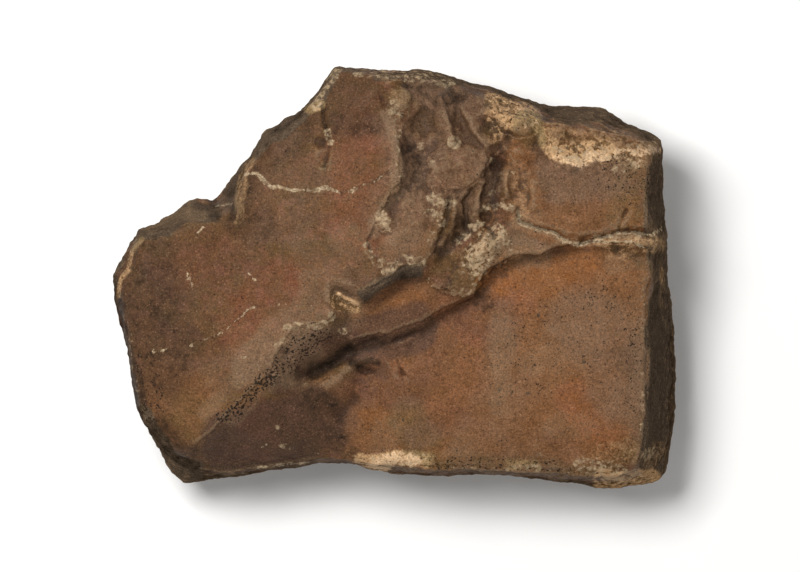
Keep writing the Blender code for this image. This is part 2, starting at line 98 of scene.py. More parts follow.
# %% [markdown]
# ## A drawing to work from
#
# Everything on the upper side is set out on a plan in millimetres: x to the right, y up,
# as on a map. Lines carry rims and cracks, and strokes and dots carry patches. One helper,
# beside, turns a drawn line into numbers for the points near it: how far from the line they
# lie, on which side, and how far from its ends. Another, ramp, turns such a number into a
# soft edge. Carving and painting both use them.

# %% Read the skin, and measure it against the plan
PLAN_MIDDLE = np.array((-0.45, 0.63))  # the plan's point that lies over the model's origin
SAME_GAP = 1e-4  # mm, within which two distances count as the same


def skin_points(mesh):
    """Places in mm, with x and y as on the plan, and the normals."""
    places = np.empty(len(mesh.vertices) * 3, np.float32)
    normals = np.empty(len(mesh.vertices) * 3, np.float32)
    mesh.vertices.foreach_get("co", places)
    mesh.vertices.foreach_get("normal", normals)
    places = places.reshape(-1, 3).astype(float) / MM
    places[:, :2] += PLAN_MIDDLE
    return places, normals.reshape(-1, 3).astype(float)


def ramp(value, start, end):
    """0 before start, 1 after end, and smooth between."""
    share = np.clip((value - start) / (end - start), 0, 1)
    return share * share * (3 - 2 * share)


def beside(plan, line, reach):
    """Points near a line: their numbers, distances (above 0 on its left), way from its ends."""
    line = np.array(line, float).reshape(-1, 2)
    inside = (plan > line.min(0) - reach) & (plan < line.max(0) + reach)
    near = np.nonzero(inside.all(1))[0]
    spots = plan[near]
    if len(line) == 1:
        gap = np.linalg.norm(spots - line[0], axis=1)
        keep = gap < reach
        return near[keep], gap[keep], np.full(keep.sum(), reach)
    gap, side, walked = np.full(len(near), np.inf), np.zeros(len(near)), np.zeros(len(near))
    length = 0.0
    for start, end in zip(line[:-1], line[1:], strict=True):
        step, offset = end - start, spots - start
        span = np.hypot(*step)
        share = np.clip(offset @ step / span**2, 0, 1)
        far = np.linalg.norm(offset - share[:, None] * step, axis=1)
        across = (step[0] * offset[:, 1] - step[1] * offset[:, 0]) / span
        nearer = (far < gap - SAME_GAP) | ((far < gap + SAME_GAP) & (abs(across) > abs(side)))
        gap = np.where(nearer, far, gap)
        side = np.where(nearer, across, side)
        walked = np.where(nearer, length + share * span, walked)
        length += span
    keep = gap < reach
    from_end = np.minimum(walked, length - walked)
    return near[keep], np.copysign(gap, side)[keep], from_end[keep]


def bumps(places, size, shift):
    """Smooth noise from about -1 to 1, with bumps of a size in mm; each shift gives others."""
    return np.array([noise.noise(Vector(place)) for place in (places / size + shift)])


places, normals = skin_points(skin)
print("skin spans", places.min(0).round(1), "to", places.max(0).round(1))

# %% [markdown]
# ## Rims, feet and cracks
#
# A stone that breaks leaves a sharp rim above and a tight crease below, and the solid has
# both worn soft. Each rim is carved by lifting the skin a little on its high side and
# cutting it on its low side, both dying away within a few millimetres. Cracks and gullies
# are grooves along a line, crests are the same upside down, and a fold has a steep side and
# a gentle one. The lines would look drawn with a ruler, so the plan is first bent by a
# little noise.

# %% Draw the rims: (lift, cut, reach, line with the high side on its left)
BREAK_RIM = [
    (-5.5, 5.3), (-8.5, 8), (-9.7, 11.5), (-8, 14.5), (-6.5, 18), (-4.8, 21.5), (-2.7, 25.5),
    (-0.5, 29), (1.5, 32.5), (1, 35.5), (1.2, 41), (0.5, 47), (-1, 51.5), (-4.5, 54), (-6, 60),
]
GULLY_RIM = [(-10.5, -3.9), (-5.5, -1.2), (-1, 1.2), (1.5, 3.5), (5, 4.3), (8.5, 4.2), (10.8, 2.2)]
NOTCH_RIM = [(-21.5, -10.5), (-21.3, -8.5), (-21, -0.8), (-16, -2.2), (-10.5, -3.9)]
RIDGE_RIM = [
    (-66.5, -57.5), (-64, -53.5), (-59, -49), (-55, -44.5), (-50, -39.5), (-45, -34.5),
    (-40, -30), (-38.5, -25), (-36, -20), (-32.5, -16), (-27, -15), (-22, -13.8), (-19.5, -11.5),
]
LEDGE_RIM = [
    (11.8, -2), (14, -3.5), (17, -3.4), (19.2, -5), (22, -6.1), (25.2, -5), (26.3, -1.5),
    (27.8, 1), (30, 3), (33, 5), (38, 7.4), (42, 8.2), (46, 7.7), (50, 9.7), (56, 11.1),
    (63, 11.6), (69, 11.5), (75, 11.3), (80.3, 9.8),
]
STEP_RIM = [
    (-15, -19.5), (-10, -18.9), (-5, -17.6), (-3, -18), (0.5, -16.2), (5, -15), (8.3, -13.5),
    (12, -11.4), (15, -9.6), (18.5, -7.9), (22, -6.3),
]
ISLAND_RIM = [(9.5, 5.5), (12, 8.7), (14.5, 15), (15, 20), (17, 24), (14, 26.5)]
SLAB_RIM = [(13, 30.5), (16, 28.3), (21, 28), (24, 30), (28, 34.5), (30, 38), (27.5, 41.5)]
CORNER_RIM = [
    (-56, 18), (-60, 18.3), (-66, 17.3), (-73, 14.3), (-80, 12.5), (-83.5, 1), (-87, -8),
]
TOP_LEFT_RIM = [
    (-18.6, 65.8), (-21.5, 63), (-26, 56), (-30.5, 50.8), (-35, 47.5), (-40, 44.5),
    (-44, 39.5), (-46.8, 36), (-49.2, 30), (-50.7, 24), (-51.3, 18.5), (-56, 18),
]
RIGHT_RIM = [
    (77, -60), (78.4, -55), (79, -50), (79.8, -42), (79.8, -30), (79.8, -15), (80, -4),
    (81.6, 1), (81, 8), (80.8, 16.5), (80.3, 22), (80.1, 28), (80.5, 35), (82, 40.8),
]
LIP_RIM = [
    (10.5, 0), (11.8, -2.6), (15, -4.6), (19.2, -5.6), (22, -6.6), (25.6, -5.4), (26.8, -1.5),
]
LOBE_RIM = [(47, 48), (44.5, 46), (42, 44.6), (38, 44.4), (34.5, 46), (31.5, 49), (29.5, 52)]
RIMS = [
    (0.25, 0.5, 1, BREAK_RIM),
    (0.2, 0.8, 1.3, GULLY_RIM),
    (0.15, 0.3, 0.9, NOTCH_RIM),
    (0.3, 0.4, 1.2, RIDGE_RIM),
    (0.3, 0.7, 1, LEDGE_RIM),
    (0.15, 0.5, 1.2, STEP_RIM),
    (0.3, 0.5, 1, ISLAND_RIM),
    (0.3, 0.5, 0.9, SLAB_RIM),
    (0.25, 0.4, 1, CORNER_RIM),
    (0.2, 0.3, 1, TOP_LEFT_RIM),
    (0.15, 0.3, 1.2, RIGHT_RIM),
    (0.3, 0.3, 0.8, LIP_RIM),
    (0.3, 0.5, 0.9, LOBE_RIM),
]
print("rims:", len(RIMS))

# %% Draw the grooves, crests and folds: (height, half-width, line)
VEIN_LONG = [
    (-48, 33), (-44.5, 33.5), (-42, 30.5), (-40, 28.8), (-36, 28.8), (-33, 28), (-30, 27.9),
    (-26, 27.8), (-22, 28.8), (-20, 28), (-17, 27.2), (-14, 27.8), (-11, 29), (-7, 30.5),
    (-4, 33), (-2, 33.8),
]
MAIN_CRACK = [
    (39, 22), (39.5, 18), (42, 17.2), (46, 16), (48, 15.5), (51, 14.5), (54, 12.5), (58, 11.5),
    (62, 11.7), (66, 13), (70, 14.5), (76, 14.5), (82, 14.2), (86, 17),
]
CRACK_BRANCH = [(62, 11), (68, 11.5), (75, 11.5), (80, 9.5)]
EDGE_CRUMBLE = [(-23.5, 55), (-23, 50), (-22, 46), (-20.5, 43), (-22.5, 37), (-23, 35)]
LINES_IN_RELIEF = [
    (-0.5, 0.5, VEIN_LONG), (-0.8, 0.6, MAIN_CRACK), (-0.6, 0.5, CRACK_BRANCH),
    (-0.5, 0.6, EDGE_CRUMBLE), (-0.7, 0.6, [(73.5, 21.5), (72, 18.5), (71, 16)]),
    (-0.4, 0.5, [(-82.5, 15), (-80, 14.3), (-73, 14.5), (-66, 17.5), (-60, 18.5), (-56, 18.2)]),
    (-0.6, 0.9, [(31, 39), (33, 36), (32, 31), (30.5, 26)]),
    (-1.4, 0.9, [(24, 28), (22.3, 24), (22, 17)]), (-1.3, 1.1, [(17.5, 25), (15.8, 17), (12, 9)]),
    (-1.4, 1.3, [(14, 66), (17, 61.5), (20, 57.5)]), (-0.4, 0.8, [(46, 48), (45, 44), (44, 41)]),
    (-0.4, 0.6, [(31, 50.5), (29.8, 48.5)]), (-0.4, 0.6, [(-7, 15), (-9.5, 12), (-8, 8), (-5, 5)]),
    (-0.4, 0.5, [(0.5, -26.5), (2, -30.5), (6, -32.5)]), (-0.3, 0.6, [(2, -29), (2, -32)]),
    (-0.25, 0.4, [(-61, -20), (-56, -17.5), (-51, -14), (-48, -10.8), (-45, -9), (-40, -8.3)]),
    (0.9, 0.8, [(-18.4, -4.8), (-16.5, -6), (-14, -7.2), (-12.6, -8)]),
    (-0.5, 0.35, [(66, 12.9), (72, 12.2), (77, 11.9)]),
    (-0.8, 0.4, [(79, 13.4), (84, 12.2), (86, 16)]),
    (0.25, 0.7, [(68, 40), (76, 41.2), (84, 42.5)]),
]
FOLDS = [  # (height, half-width on the left, half-width on the right, line)
    (2.7, 3, 0.7, [(19, 41.5), (17.6, 46), (16.5, 50), (15.2, 55.5), (13.5, 60)]),
    (2.5, 3.4, 0.8, [(20.5, 57), (22, 52), (24.5, 47.5), (27, 44), (30.4, 39.5)]),
    (1.5, 1.2, 2.2, [(26, 60), (28, 55), (29.5, 51)]),
    (-1.2, 5, 4, [(5, 52), (12, 44.5)]),
    (1.4, 1.1, 0.8, [(19, 24), (18.6, 18), (17.5, 13)]),
    (2.1, 1.8, 0.7, [(26.2, 20), (26.6, 26), (28.5, 33)]),
    (2.2, 2.6, 0.7, [(36, 23.5), (35.3, 30), (36, 36.5)]),
    (1.5, 0.8, 3, [(43.6, 20.5), (43.8, 27), (43, 33)]),
    (-0.4, 1.2, 1.2, [(39.5, 36), (40.5, 31), (39.5, 26)]),
    (1, 3.6, 3.6, [(25.5, 4.5), (31, 13)]),
    (-1.4, 1.6, 1.6, [(20.5, 15.5), (21, 11)]),
    (-0.8, 3, 3, [(17, 5), (20, 1)]),
    (0.6, 4, 1.5, [(-3, 9), (5, 18), (11, 19)]),
    (-1.4, 4, 3, [
        (-29.5, -30.8), (-24.8, -31.2), (-20.2, -28.4), (-16.3, -24.2), (-12.5, -21.2),
    ]),
    (0.6, 2, 3.4, [(-25, -35.6), (-20, -33), (-16, -30), (-12.5, -27)]),
    (-0.8, 1.8, 0.7, [(-13, -21.2), (-9, -20.2), (-4.2, -19.4)]),
    (-0.9, 1.8, 0.7, [(-2.5, -21), (3, -19.2), (7.5, -17.2)]),
    (-1.2, 2.2, 0.9, [(-14.3, -28.4), (-9.5, -29.8), (-5.8, -29.2)]),
    (-0.8, 3.5, 2.4, [(-21, -46), (-16, -41), (-11.5, -36.5)]),
]
print("grooves and crests:", len(LINES_IN_RELIEF), "folds:", len(FOLDS))

# %% Carve them
BEND = ((5.0, 0.5), (1.7, 0.28))  # mm: the size of each bend of the lines, and its height
BEND_SHIFTS = (3.1, 7.7)  # so that x and y bend each in their own way
FADE_OUT = 3.0  # mm over which a rim or a fold dies away at its ends
RIM_SPAN, LINE_SPAN = 5, 3  # reaches or half-widths, beyond which nothing is carved
FACES_UP = (0.1, 0.45)  # the normal's upward part, from a side to the upper side
UPPER_LEVELS = (38, 44)  # mm above the table, from the flanks to the upper side


def bent_plan(places, bends=BEND):
    """x and y of the points, bent by noise so that no line runs straight."""
    plan = places[:, :2].copy()
    flat = places * (1, 1, 0)
    for size, height in bends:
        for axis, shift in enumerate(BEND_SHIFTS):
            plan[:, axis] += height * bumps(flat, size, shift)
    return plan


plan = bent_plan(places)
upward = ramp(normals[:, 2], *FACES_UP) * ramp(places[:, 2], *UPPER_LEVELS)
rise = np.zeros(len(places))
for lift, cut, reach, line in RIMS:
    near, gap, from_end = beside(plan, line, RIM_SPAN * reach)
    whole = np.clip(from_end / FADE_OUT, 0, 1)
    rise[near] += np.where(gap > 0, lift, -cut) * np.exp(-abs(gap) / reach) * whole
for height, width, line in LINES_IN_RELIEF:
    near, gap, _ = beside(plan, line, LINE_SPAN * width)
    rise[near] += height * np.exp(-((gap / width) ** 2))
for height, left, right, line in FOLDS:
    near, gap, from_end = beside(plan, line, LINE_SPAN * max(left, right))
    whole = ramp(from_end, 0, FADE_OUT)
    rise[near] += height * np.exp(-((gap / np.where(gap > 0, left, right)) ** 2)) * whole
print("carved from", round(rise.min(), 2), "to", round(rise.max(), 2), "mm")

# %% [markdown]
# ## Crumbs of caliche
#
# Lime that dries out of ground water grows as rounded grains, from flour to the size of a
# peppercorn. They sit in the cracks, on the rims and along the outline. Loose spheres would
# look scattered on, so the grains are raised out of the skin itself: each cell of a Voronoi
# pattern becomes a small dome. The crust's patches are drawn on the plan, and one function
# gives the domes' height, so that the colour can later find the same grains.

# %% Draw the crusts: (thickness, half-width, soft edge, points of a stroke or one dot)
GRAIN = 1.1  # mm, how far the grains of the crust lie apart
CRUSTS = [
    (0.5, 1.4, 1, [(-1.5, 53), (-0.5, 55.5), (1, 53)]), (0.4, 0.8, 1, [(0.3, 50), (0.8, 44)]),
    (0.35, 0.7, 1.2, [(0.8, 41), (0.8, 36), (1.5, 32)]),
    (0.8, 1.8, 1.2, [(-4.6, 19.3), (-3.5, 17.5)]),
    (0.45, 0.9, 1, [(-9.5, 10.5), (-8, 7), (-5.5, 5)]), (0.5, 1.3, 1, [(-3.5, 1.8), (-1.5, 2.8)]),
    (0.6, 1.6, 1, [(4.8, 5.3), (7.8, 4.8)]), (0.4, 1.2, 1.5, [(-6, 5), (-2, 4.5), (3, 6)]),
    (0.6, 1.9, 1.2, [(12, 25.5), (15.5, 24), (17, 24)]),
    (0.5, 1.1, 1, [(10.5, 20.5), (13.5, 20.7), (14.5, 17.5)]),
    (0.4, 1, 1.2, [(11, 14), (11.5, 12)]),
    (0.35, 1, 1.5, [(11.5, -1.5), (16, -2.6), (19, -4.2), (23, -4.4), (25, -2), (25.8, 1)]),
    (0.5, 3.6, 3, [(25.5, 5), (28.5, 10), (31.5, 13)]), (0.35, 2.4, 2, [(32.5, 6), (35, 10)]),
    (0.5, 1, 1, [(20, 12), (22, 13.5), (23.5, 16), (27, 17.5)]),
    (0.5, 0.9, 1, [(28, 22), (30, 22.5), (34, 23.5), (37, 22)]), (0.5, 1, 0.8, [(30.5, 27.5)]),
    (0.5, 0.9, 0.8, [(31, 37.5)]), (0.7, 1.9, 0.8, [(18.6, 43.2)]), (0.5, 1, 0.8, [(8, 42)]),
    (0.6, 1.3, 0.8, [(11, 36.8)]), (0.5, 1, 0.8, [(37, 33)]), (0.5, 0.5, 0.5, VEIN_LONG[:11]),
    (0.3, 0.3, 0.4, VEIN_LONG[10:]), (0.5, 0.6, 0.6, [(x, y - 0.5) for x, y in MAIN_CRACK[:9]]),
    (0.4, 0.6, 1, [(64, 13.8), (70, 13.4), (76, 13.2), (83, 13)]),
    (0.5, 1.2, 1, [(-24, 56), (-26.5, 55)]), (0.6, 1, 0.8, [(-22, 46.5), (-21, 43.5)]),
    (0.4, 0.8, 0.8, [(-22.5, 38), (-23.5, 35)]),
    (0.5, 1.6, 1.5, [(-12, 66), (-6, 66), (0, 65.4), (5, 64.5), (12, 64.5), (17, 62.5)]),
    (0.5, 1.3, 1.2, [(-19, 66.5), (-21.5, 63), (-24.5, 58.5)]),
    (0.5, 0.8, 0.8, [(-20.5, -11.5), (-20.7, -13)]),
    (0.5, 0.8, 0.8, [(-17.5, -17.2), (-16.5, -17)]),
    (0.5, 0.9, 0.8, [(-35, -16), (-30, -15.3), (-26, -15.5), (-23, -14.5)]),
    (0.5, 0.8, 0.8, [(-38, -21.5), (-35.5, -19.5)]),
    (0.35, 1, 3.2, [(-12, -60), (-6, -59.4), (0, -59), (7, -60)]),
    (0.3, 0.4, 1.5, [(12, -60), (22, -61), (34, -61.5), (50, -61.5), (60, -62)]),
    (0.4, 1.2, 1.2, [(37, -61), (45, -61.5)]),
    (0.45, 2, 2.4, [(60, -59.5), (64, -61), (70, -62.5), (77, -64)]),
    (0.3, 0.5, 1.2, [(79, -50), (79.3, -30), (79.3, -12), (79.6, 4)]),
    (0.5, 1.6, 1.4, [(80, -57), (84, -56)]), (0.5, 1.1, 1.2, [(51, 41), (54, 38.8), (60, 38.2)]),
    (0.4, 1.8, 2, [(55, 41), (62, 40.6), (72, 40.5), (82, 42.5)]),
    (0.4, 1.6, 1.5, [(71, 35), (76, 36)]),
    (0.25, 0.8, 1.5, [(-86, -12), (-84.5, -24), (-83, -36), (-79, -46)]),
    (0.3, 0.7, 1, [(-83, 13), (-86, 6), (-88.5, -1)]), (0.4, 0.7, 0.6, [(-37, -54), (-33.5, -55)]),
    (0.4, 0.7, 0.6, [(-38, -48)]), (0.4, 0.6, 0.6, [(-25, -57)]),
]
print("crusts:", len(CRUSTS))

# %% Raise the grains
THIN_CRUST = 0.02  # mm of crust, below which no grains are raised
DOME_EDGE = 0.62  # of a cell, where a dome meets the skin
LOWEST_DOME = 0.5  # of the highest one
CELL_SHIFT = 7.3  # gives each grain its own place in the noise of heights
FINER, LOWER = 0.55, 0.45  # the size and height of a second set of grains, to the first's
FINER_ASIDE = 5  # mm that they are moved, so that the two sets don't line up


def painted(plan, strokes):
    """The strongest of the strokes at each point."""
    strength = np.zeros(len(plan))
    for full, half, soft, line in strokes:
        near, gap, _ = beside(plan, line, half + soft)
        strength[near] = np.maximum(strength[near], full * ramp(half + soft - abs(gap), 0, soft))
    return strength


def grain_domes(places, size):
    """Domes from 0 to 1 packed side by side, each with its own height."""
    heights = np.zeros(len(places))
    for i, place in enumerate(places / size):
        gaps, centres = noise.voronoi(Vector(place))
        own = LOWEST_DOME + (1 - LOWEST_DOME) * noise.cell(centres[0] * CELL_SHIFT)
        heights[i] = max(0.0, 1 - (gaps[0] / DOME_EDGE) ** 2) * own
    return heights


def crust_height(places, plan):
    """The crust's thickness, and the height of its grains, in mm."""
    cover = painted(plan, CRUSTS)
    domes = np.zeros(len(places))
    crusted = cover > THIN_CRUST
    flat = places[crusted] * (1, 1, 0)
    finer = grain_domes(flat + FINER_ASIDE, FINER * GRAIN)
    domes[crusted] = grain_domes(flat, GRAIN) + LOWER * finer
    return cover, cover * domes


cover, grains = crust_height(places, plan)
rise += grains
print("crust on", (cover > THIN_CRUST).sum(), "points, highest grain", round(grains.max(), 2), "mm")

# %% [markdown]
# ## Roughness of the broken faces
#
# The varnished faces are smooth to the hand, the broken middle is lumpy, and the flanks are
# rough like a weathered brick. Each gets noise of its own sizes. Noise that moves points
# along their normals works on every side, so the flanks and the underside come for free.

# %% Roughen and set the skin
BROKEN_PLACES = [  # the rough parts of the upper side: (x, y, radius)
    (20, 34, 30), (8, 60, 16), (26, 6, 14), (60, 50, 22), (76, 48, 16), (-38, -28, 9),
    (74, 13, 8),
]
SMOOTH_FACE_BUMPS = ((17.0, 0.30), (6.0, 0.12), (2.2, 0.05))  # (size, height) in mm
BROKEN_FACE_BUMPS = ((7.0, 0.9), (3.0, 0.5), (1.3, 0.3))
FLANK_BUMPS = ((8.0, 0.6), (3.4, 0.32), (1.5, 0.3))
BUMP_SHIFT = 11.3  # so that the bumps differ from the bends of the lines
BROKEN_FADE = 0.4  # of a rough part's radius, over which it turns smooth
FAINT_BUMPS = 0.01  # a share of the bumps that is too small to work out
FLANK_FULLER, LOWER_RIGHT_FULLER = 0.4, 0.8  # mm that the flanks stand out from the solid
LOWER_RIGHT_SIDES = (0, 0.6)  # the normal's part toward the plan's lower right corner
LOWER_PART = (-30, 5)  # mm below the plan's middle
STAYS_FLAT = (0.3, 3.0)  # mm of height over which the resting facet's edge takes up the bumps

broken = np.zeros(len(places))
for x, y, radius in BROKEN_PLACES:
    inward = radius - np.hypot(plan[:, 0] - x, plan[:, 1] - y)
    broken = np.maximum(broken, ramp(inward, 0, BROKEN_FADE * radius))
broken *= upward
flank = 1 - upward
swell = np.zeros(len(places))
for amount, layers in (
    (upward * (1 - broken), SMOOTH_FACE_BUMPS), (broken, BROKEN_FACE_BUMPS), (flank, FLANK_BUMPS),
):
    some = amount > FAINT_BUMPS
    for size, height in layers:
        swell[some] += amount[some] * height * bumps(places[some], size, BUMP_SHIFT)
lower_right = ramp((normals[:, 0] - normals[:, 1]) / 2**0.5, *LOWER_RIGHT_SIDES)
lower_right *= ramp(-plan[:, 1], *LOWER_PART)
swell += flank * (FLANK_FULLER + LOWER_RIGHT_FULLER * lower_right)
off_floor = ramp(places[:, 2], *STAYS_FLAT)
places[:, 2] += rise * upward
places += normals * (swell * off_floor)[:, None]
places[:, :2] -= PLAN_MIDDLE
skin.vertices.foreach_set("co", (places * MM).astype(np.float32).ravel())
skin.update()
print("roughened; the skin now reaches", places.max(0).round(1))

# %% Spend the triangles where they are seen
MOST_TRIANGLES = 192000
THINNED = {"upper": 0.3, "flank": 0.6, "under": 1.0}  # how readily each side is thinned
UNDER_TO_FLANK, FLANK_TO_UPPER = (-0.6, -0.2), (0.0, 0.3)  # the normal's upward part

sides = ramp(normals[:, 2], *UNDER_TO_FLANK), ramp(normals[:, 2], *FLANK_TO_UPPER)
thinning = THINNED["under"] + (THINNED["flank"] - THINNED["under"]) * sides[0]
thinning = np.round(thinning + (THINNED["upper"] - THINNED["flank"]) * sides[1], 1)
stone_mesh = after_modifiers(
    skin,
    ("TRIANGULATE", {}),
    ("DECIMATE", {
        "ratio": MOST_TRIANGLES / (2 * len(skin.polygons)),
        "vertex_group": "weights",
    }),
    weights=thinning,
)
stone_mesh.name = "meteorite skin"
stone_mesh.shade_smooth()
stone = placed("weathered_stone", stone_mesh)
print("stone:", len(stone_mesh.polygons), "triangles")

# %% [markdown]
# ## Where each finish lies
#
# The weathering isn't even: rust blooms in some places, dust lies on the high rims, lime
# fills the cracks. Each finish is drawn on the plan as soft strokes and dots, and stored on
# the mesh as a number from 0 to 1 at each point. The material reads these numbers and
# breaks their edges up with noise, which a drawing this coarse can't do by itself.

# %% Draw the finishes: (strength, half-width, soft edge, points)
DARK_DOTS = [(33.5, -35.5), (38, -37), (42.5, -37.5), (34, -40), (60, -26), (46, -12), (3, -44)]
FINISHES = {}
FINISHES["ochre"] = [  # orange-brown stone of the big lower right face and the gully's floor
    (1, 14, 8, [(8, -42), (30, -40), (60, -42)]), (1, 12, 6, [(20, -24), (45, -10), (66, -8)]),
    (1, 8, 4, [(2, -30), (20, -20), (38, -4), (66, 0)]),
    (0.9, 5, 3, [(-8, -13), (2, -9), (10, -8)]), (0.7, 6, 4, [(-20, -40), (-8, -48)]),
    (0.65, 6, 4, [(46, 21), (60, 19), (70, 20)]), (0.8, 4, 2.5, [(40, 42), (40, 30), (42, 20)]),
    (0.5, 5, 3, [(0, 12), (8, 12)]), (0.35, 7, 5, [(12, 37), (24, 36)]),
    (0.4, 9, 8, [(-76, -30), (-70, -42)]), (0.6, 6, 8, [(-74, -33), (-64, -38)]),
]
FINISHES["rust"] = [  # iron rust showing through
    (0.6, 6, 8, [(-12, 39), (-13, 33)]), (0.55, 6, 8, [(-15, 24), (-13, 18)]),
    (0.5, 6, 8, [(-3, 42), (-8, 50)]), (0.55, 7, 9, [(-46, -16), (-38, -4)]),
    (0.45, 6, 9, [(-68, 5), (-58, 8)]), (0.55, 4, 7, [(57, -38), (62, -45)]),
    (0.5, 3, 6, [(69, -52)]), (0.4, 4, 5, [(54, -54)]), (0.35, 5, 7, [(12, -14), (16, -22)]),
    (0.4, 7, 7, [(20, -20), (18, -44)]), (0.45, 5, 6, [(-46, -44), (-44, -54)]),
    (0.5, 3, 4, [(33, -2), (42, -8)]), (0.3, 6, 6, [(70, -20)]),
    (0.45, 5, 7, [(-8, -32), (4, -32)]), (0.4, 5, 6, [(16, -46), (22, -48)]),
    (0.6, 5, 6, [(18, -12), (26, -16), (33, -11)]), (0.4, 4, 6, [(10, -26), (16, -34)]),
    (0.5, 4, 5, [(12, -46), (20, -45)]),
]
FINISHES["amber"] = [  # brightest orange
    (0.7, 3, 4, [(30, -3), (36, 0)]), (0.6, 5, 6, [(42, 2), (58, 4)]),
    (0.3, 4, 5, [(-9, -36), (-8, -43)]), (0.5, 2, 2.5, [(76, 22), (78, 17)]),
    (0.35, 3, 7, [(57, -38), (62, -44)]), (0.4, 3, 6, [(68, -52)]),
    (0.4, 3, 4, [(41, 34), (42, 26)]), (0.4, 3, 4, [(0, -6), (4, -8)]),
]
FINISHES["olive"] = [  # yellow-green cast
    (0.8, 4, 5, [(3, -44), (7, -52)]),
    (0.5, 2.5, 3, [(-29, -34.6), (-24, -34.6), (-17, -31), (-12, -27.5)]),
    (0.6, 3, 2, [(0, 58), (2, 56)]), (0.5, 3, 4, [(16, 14), (18, 22)]),
    (0.6, 4, 5, [(74, 33), (75, 22)]), (0.5, 4, 4, [(18, 3), (22, 0)]),
    (0.9, 3.2, 2.5, [(41, 47), (44, 47.5)]), (0.4, 5, 6, [(-66, 20), (-58, 21)]),
    (0.4, 4, 5, [(-30, 46), (-24, 54)]), (0.5, 5, 6, [(-68, -42), (-60, -46)]),
    (0.5, 3, 5, [(-80, 12), (-70, 13), (-58, 16)]),
    (0.5, 2, 2, [(12, -60), (36, -61.5), (60, -62)]),
]
FINISHES["mauve_varnish_and_shade"] = [  # dark mauve-brown varnish, and painted shade below ridges of the broken middle and in a small pocket of the gully
    (1, 9, 5, [(-52, -54), (-38, -50), (-27, -46)]),
    (0.9, 6, 4, [(-34, -30), (-28, -24), (-20, -22), (-6, -19.5), (6, -16)]),
    (0.5, 4, 3, [(-10, -6), (-2, -2), (4, 1.5)]), (0.4, 6, 5, [(10, 58), (9, 48), (8, 34)]),
    (0.5, 5, 5, [(20, 60), (22, 52), (28, 46)]), (0.3, 8, 6, [(48, 31), (60, 31)]),
    (0.8, 1.8, 2.4, [(31.5, 37.5), (31.5, 30), (30.5, 26)]),
    # the second stroke here is painted shade in a small pocket of the gully
    (0.6, 2, 3, [(22, 27), (21, 16), (14, 9)]), (0.7, 3, 3, [(-12, -29), (-6, -29)]),
    (0.6, 3, 4, [(-16, -46), (-20, -54)]), (0.3, 10, 10, [(-76, -8), (-78, -30)]),
    (0.8, 4, 4, [(7, 63), (14, 62), (21, 58), (24, 55)]),
    (0.3, 5, 7, [(14, -4), (22, -12), (31, -13)]), (0.25, 4, 6, [(14, -16), (12, -28), (2, -36)]),
    (0.6, 4, 5, [(-19, -38), (-12, -36)]), (0.4, 4, 5, [(-8, -34), (4, -34)]),
    # the strokes at (8, 30 to 40) and (14 to 18, 52 to 54) are painted shade below ridges
    (0.5, 2, 2, [(-30, -33.5), (-26, -34.8)]), (0.6, 3, 4, [(8, 40), (8, 30)]),
    (0.5, 3, 4, [(14, 54), (18, 52)]), (0.9, 4, 5, [(-26, -42), (-21, -44)]),
    (1, 3.5, 3.5, [(6, 61), (13, 57), (19, 58)]), (0.9, 2.5, 3, [(4.5, 43), (4.5, 33), (12, 42)]),
]
FINISHES["deep_varnish_and_shade"] = [  # thicker, darker varnish, and painted shade in the gully's pockets and below the ridge of the big lower right face
    (0.8, 8, 12, [(-80, 6), (-80, -12), (-76, -26)]),
    (0.8, 3, 7, [(-50, 22), (-46, 33), (-36, 43), (-26, 54), (-20, 62)]),
    (0.5, 6, 10, [(-72, 8), (-62, 12), (-55, 10)]), (0.7, 6, 8, [(-16, 62), (-10, 54)]),
    # painted shade in the gully's first pocket, below the ridge
    (0.9, 1.4, 2.6, [(-25, -30.4), (-22, -28.8), (-19, -26), (-14, -22.4)]),
    (0.7, 1.5, 2, [(44, 43), (47, 42), (49, 44)]), (0.6, 2.5, 2.5, [(6, 60), (10, 58.5), (14, 60)]),
    (0.8, 1.4, 2, [(17, 61), (21, 56)]), (0.6, 5, 5, [(-32, -56), (-24, -50)]),
    # painted shade in a small shadowed pocket of the gully
    (0.9, 1, 1, [(-14, -28), (-10, -28.7), (-6.5, -28.5)]),
    (0.25, 4, 6, [(76, -10), (76, -35), (74, -55)]), (0.4, 4, 6, [(-33, 40), (-30, 28)]),
    (1, 3, 2.6, [(-91, -2), (-88.5, -18), (-86.5, -32), (-84.5, -44)]),
    # the first stroke is painted shade below the ridge of the big lower right face
    (0.4, 4, 6, [(16, -8), (24, -13), (34, -13)]), (0.35, 4, 6, [(14, -18), (10, -30)]),
    (0.5, 3, 4, [(-17, -58), (-22, -56)]), (1, 1.6, 3, [(-79, -48), (-73, -56), (-66, -61)]),
    # the second stroke is painted shade below the same ridge
    (0.4, 4, 5, [(8, -50), (18, -46)]), (0.4, 4, 5, [(31, -10), (33, -18)]),
    (0.4, 4, 5, [(-2, -35), (4, -36)]), (0.85, 3, 3, [(5, 63), (13, 59), (19, 59)]),
    (0.85, 3, 3, [(4, 41), (5, 33)]), (0.8, 3, 4, [(-19, 49), (-4, 49)]),
    (0.8, 4, 5, [(-50, 17), (-43, 17)]), (0.8, 2.5, 3, [(20, 17)]), (0.8, 3, 3, [(28, -8)]),
    (0.85, 3, 4, [(-27, -40), (-22, -41)]), (0.85, 2.5, 4, [(-76, -48), (-68, -56)]),
    (0.85, 3, 3, [(-19, -54)]), (0.6, 3, 3, [(4.5, -54), (12.5, -47)]),
    (0.6, 2, 3, [(76, -20), (76, -46)]),
]
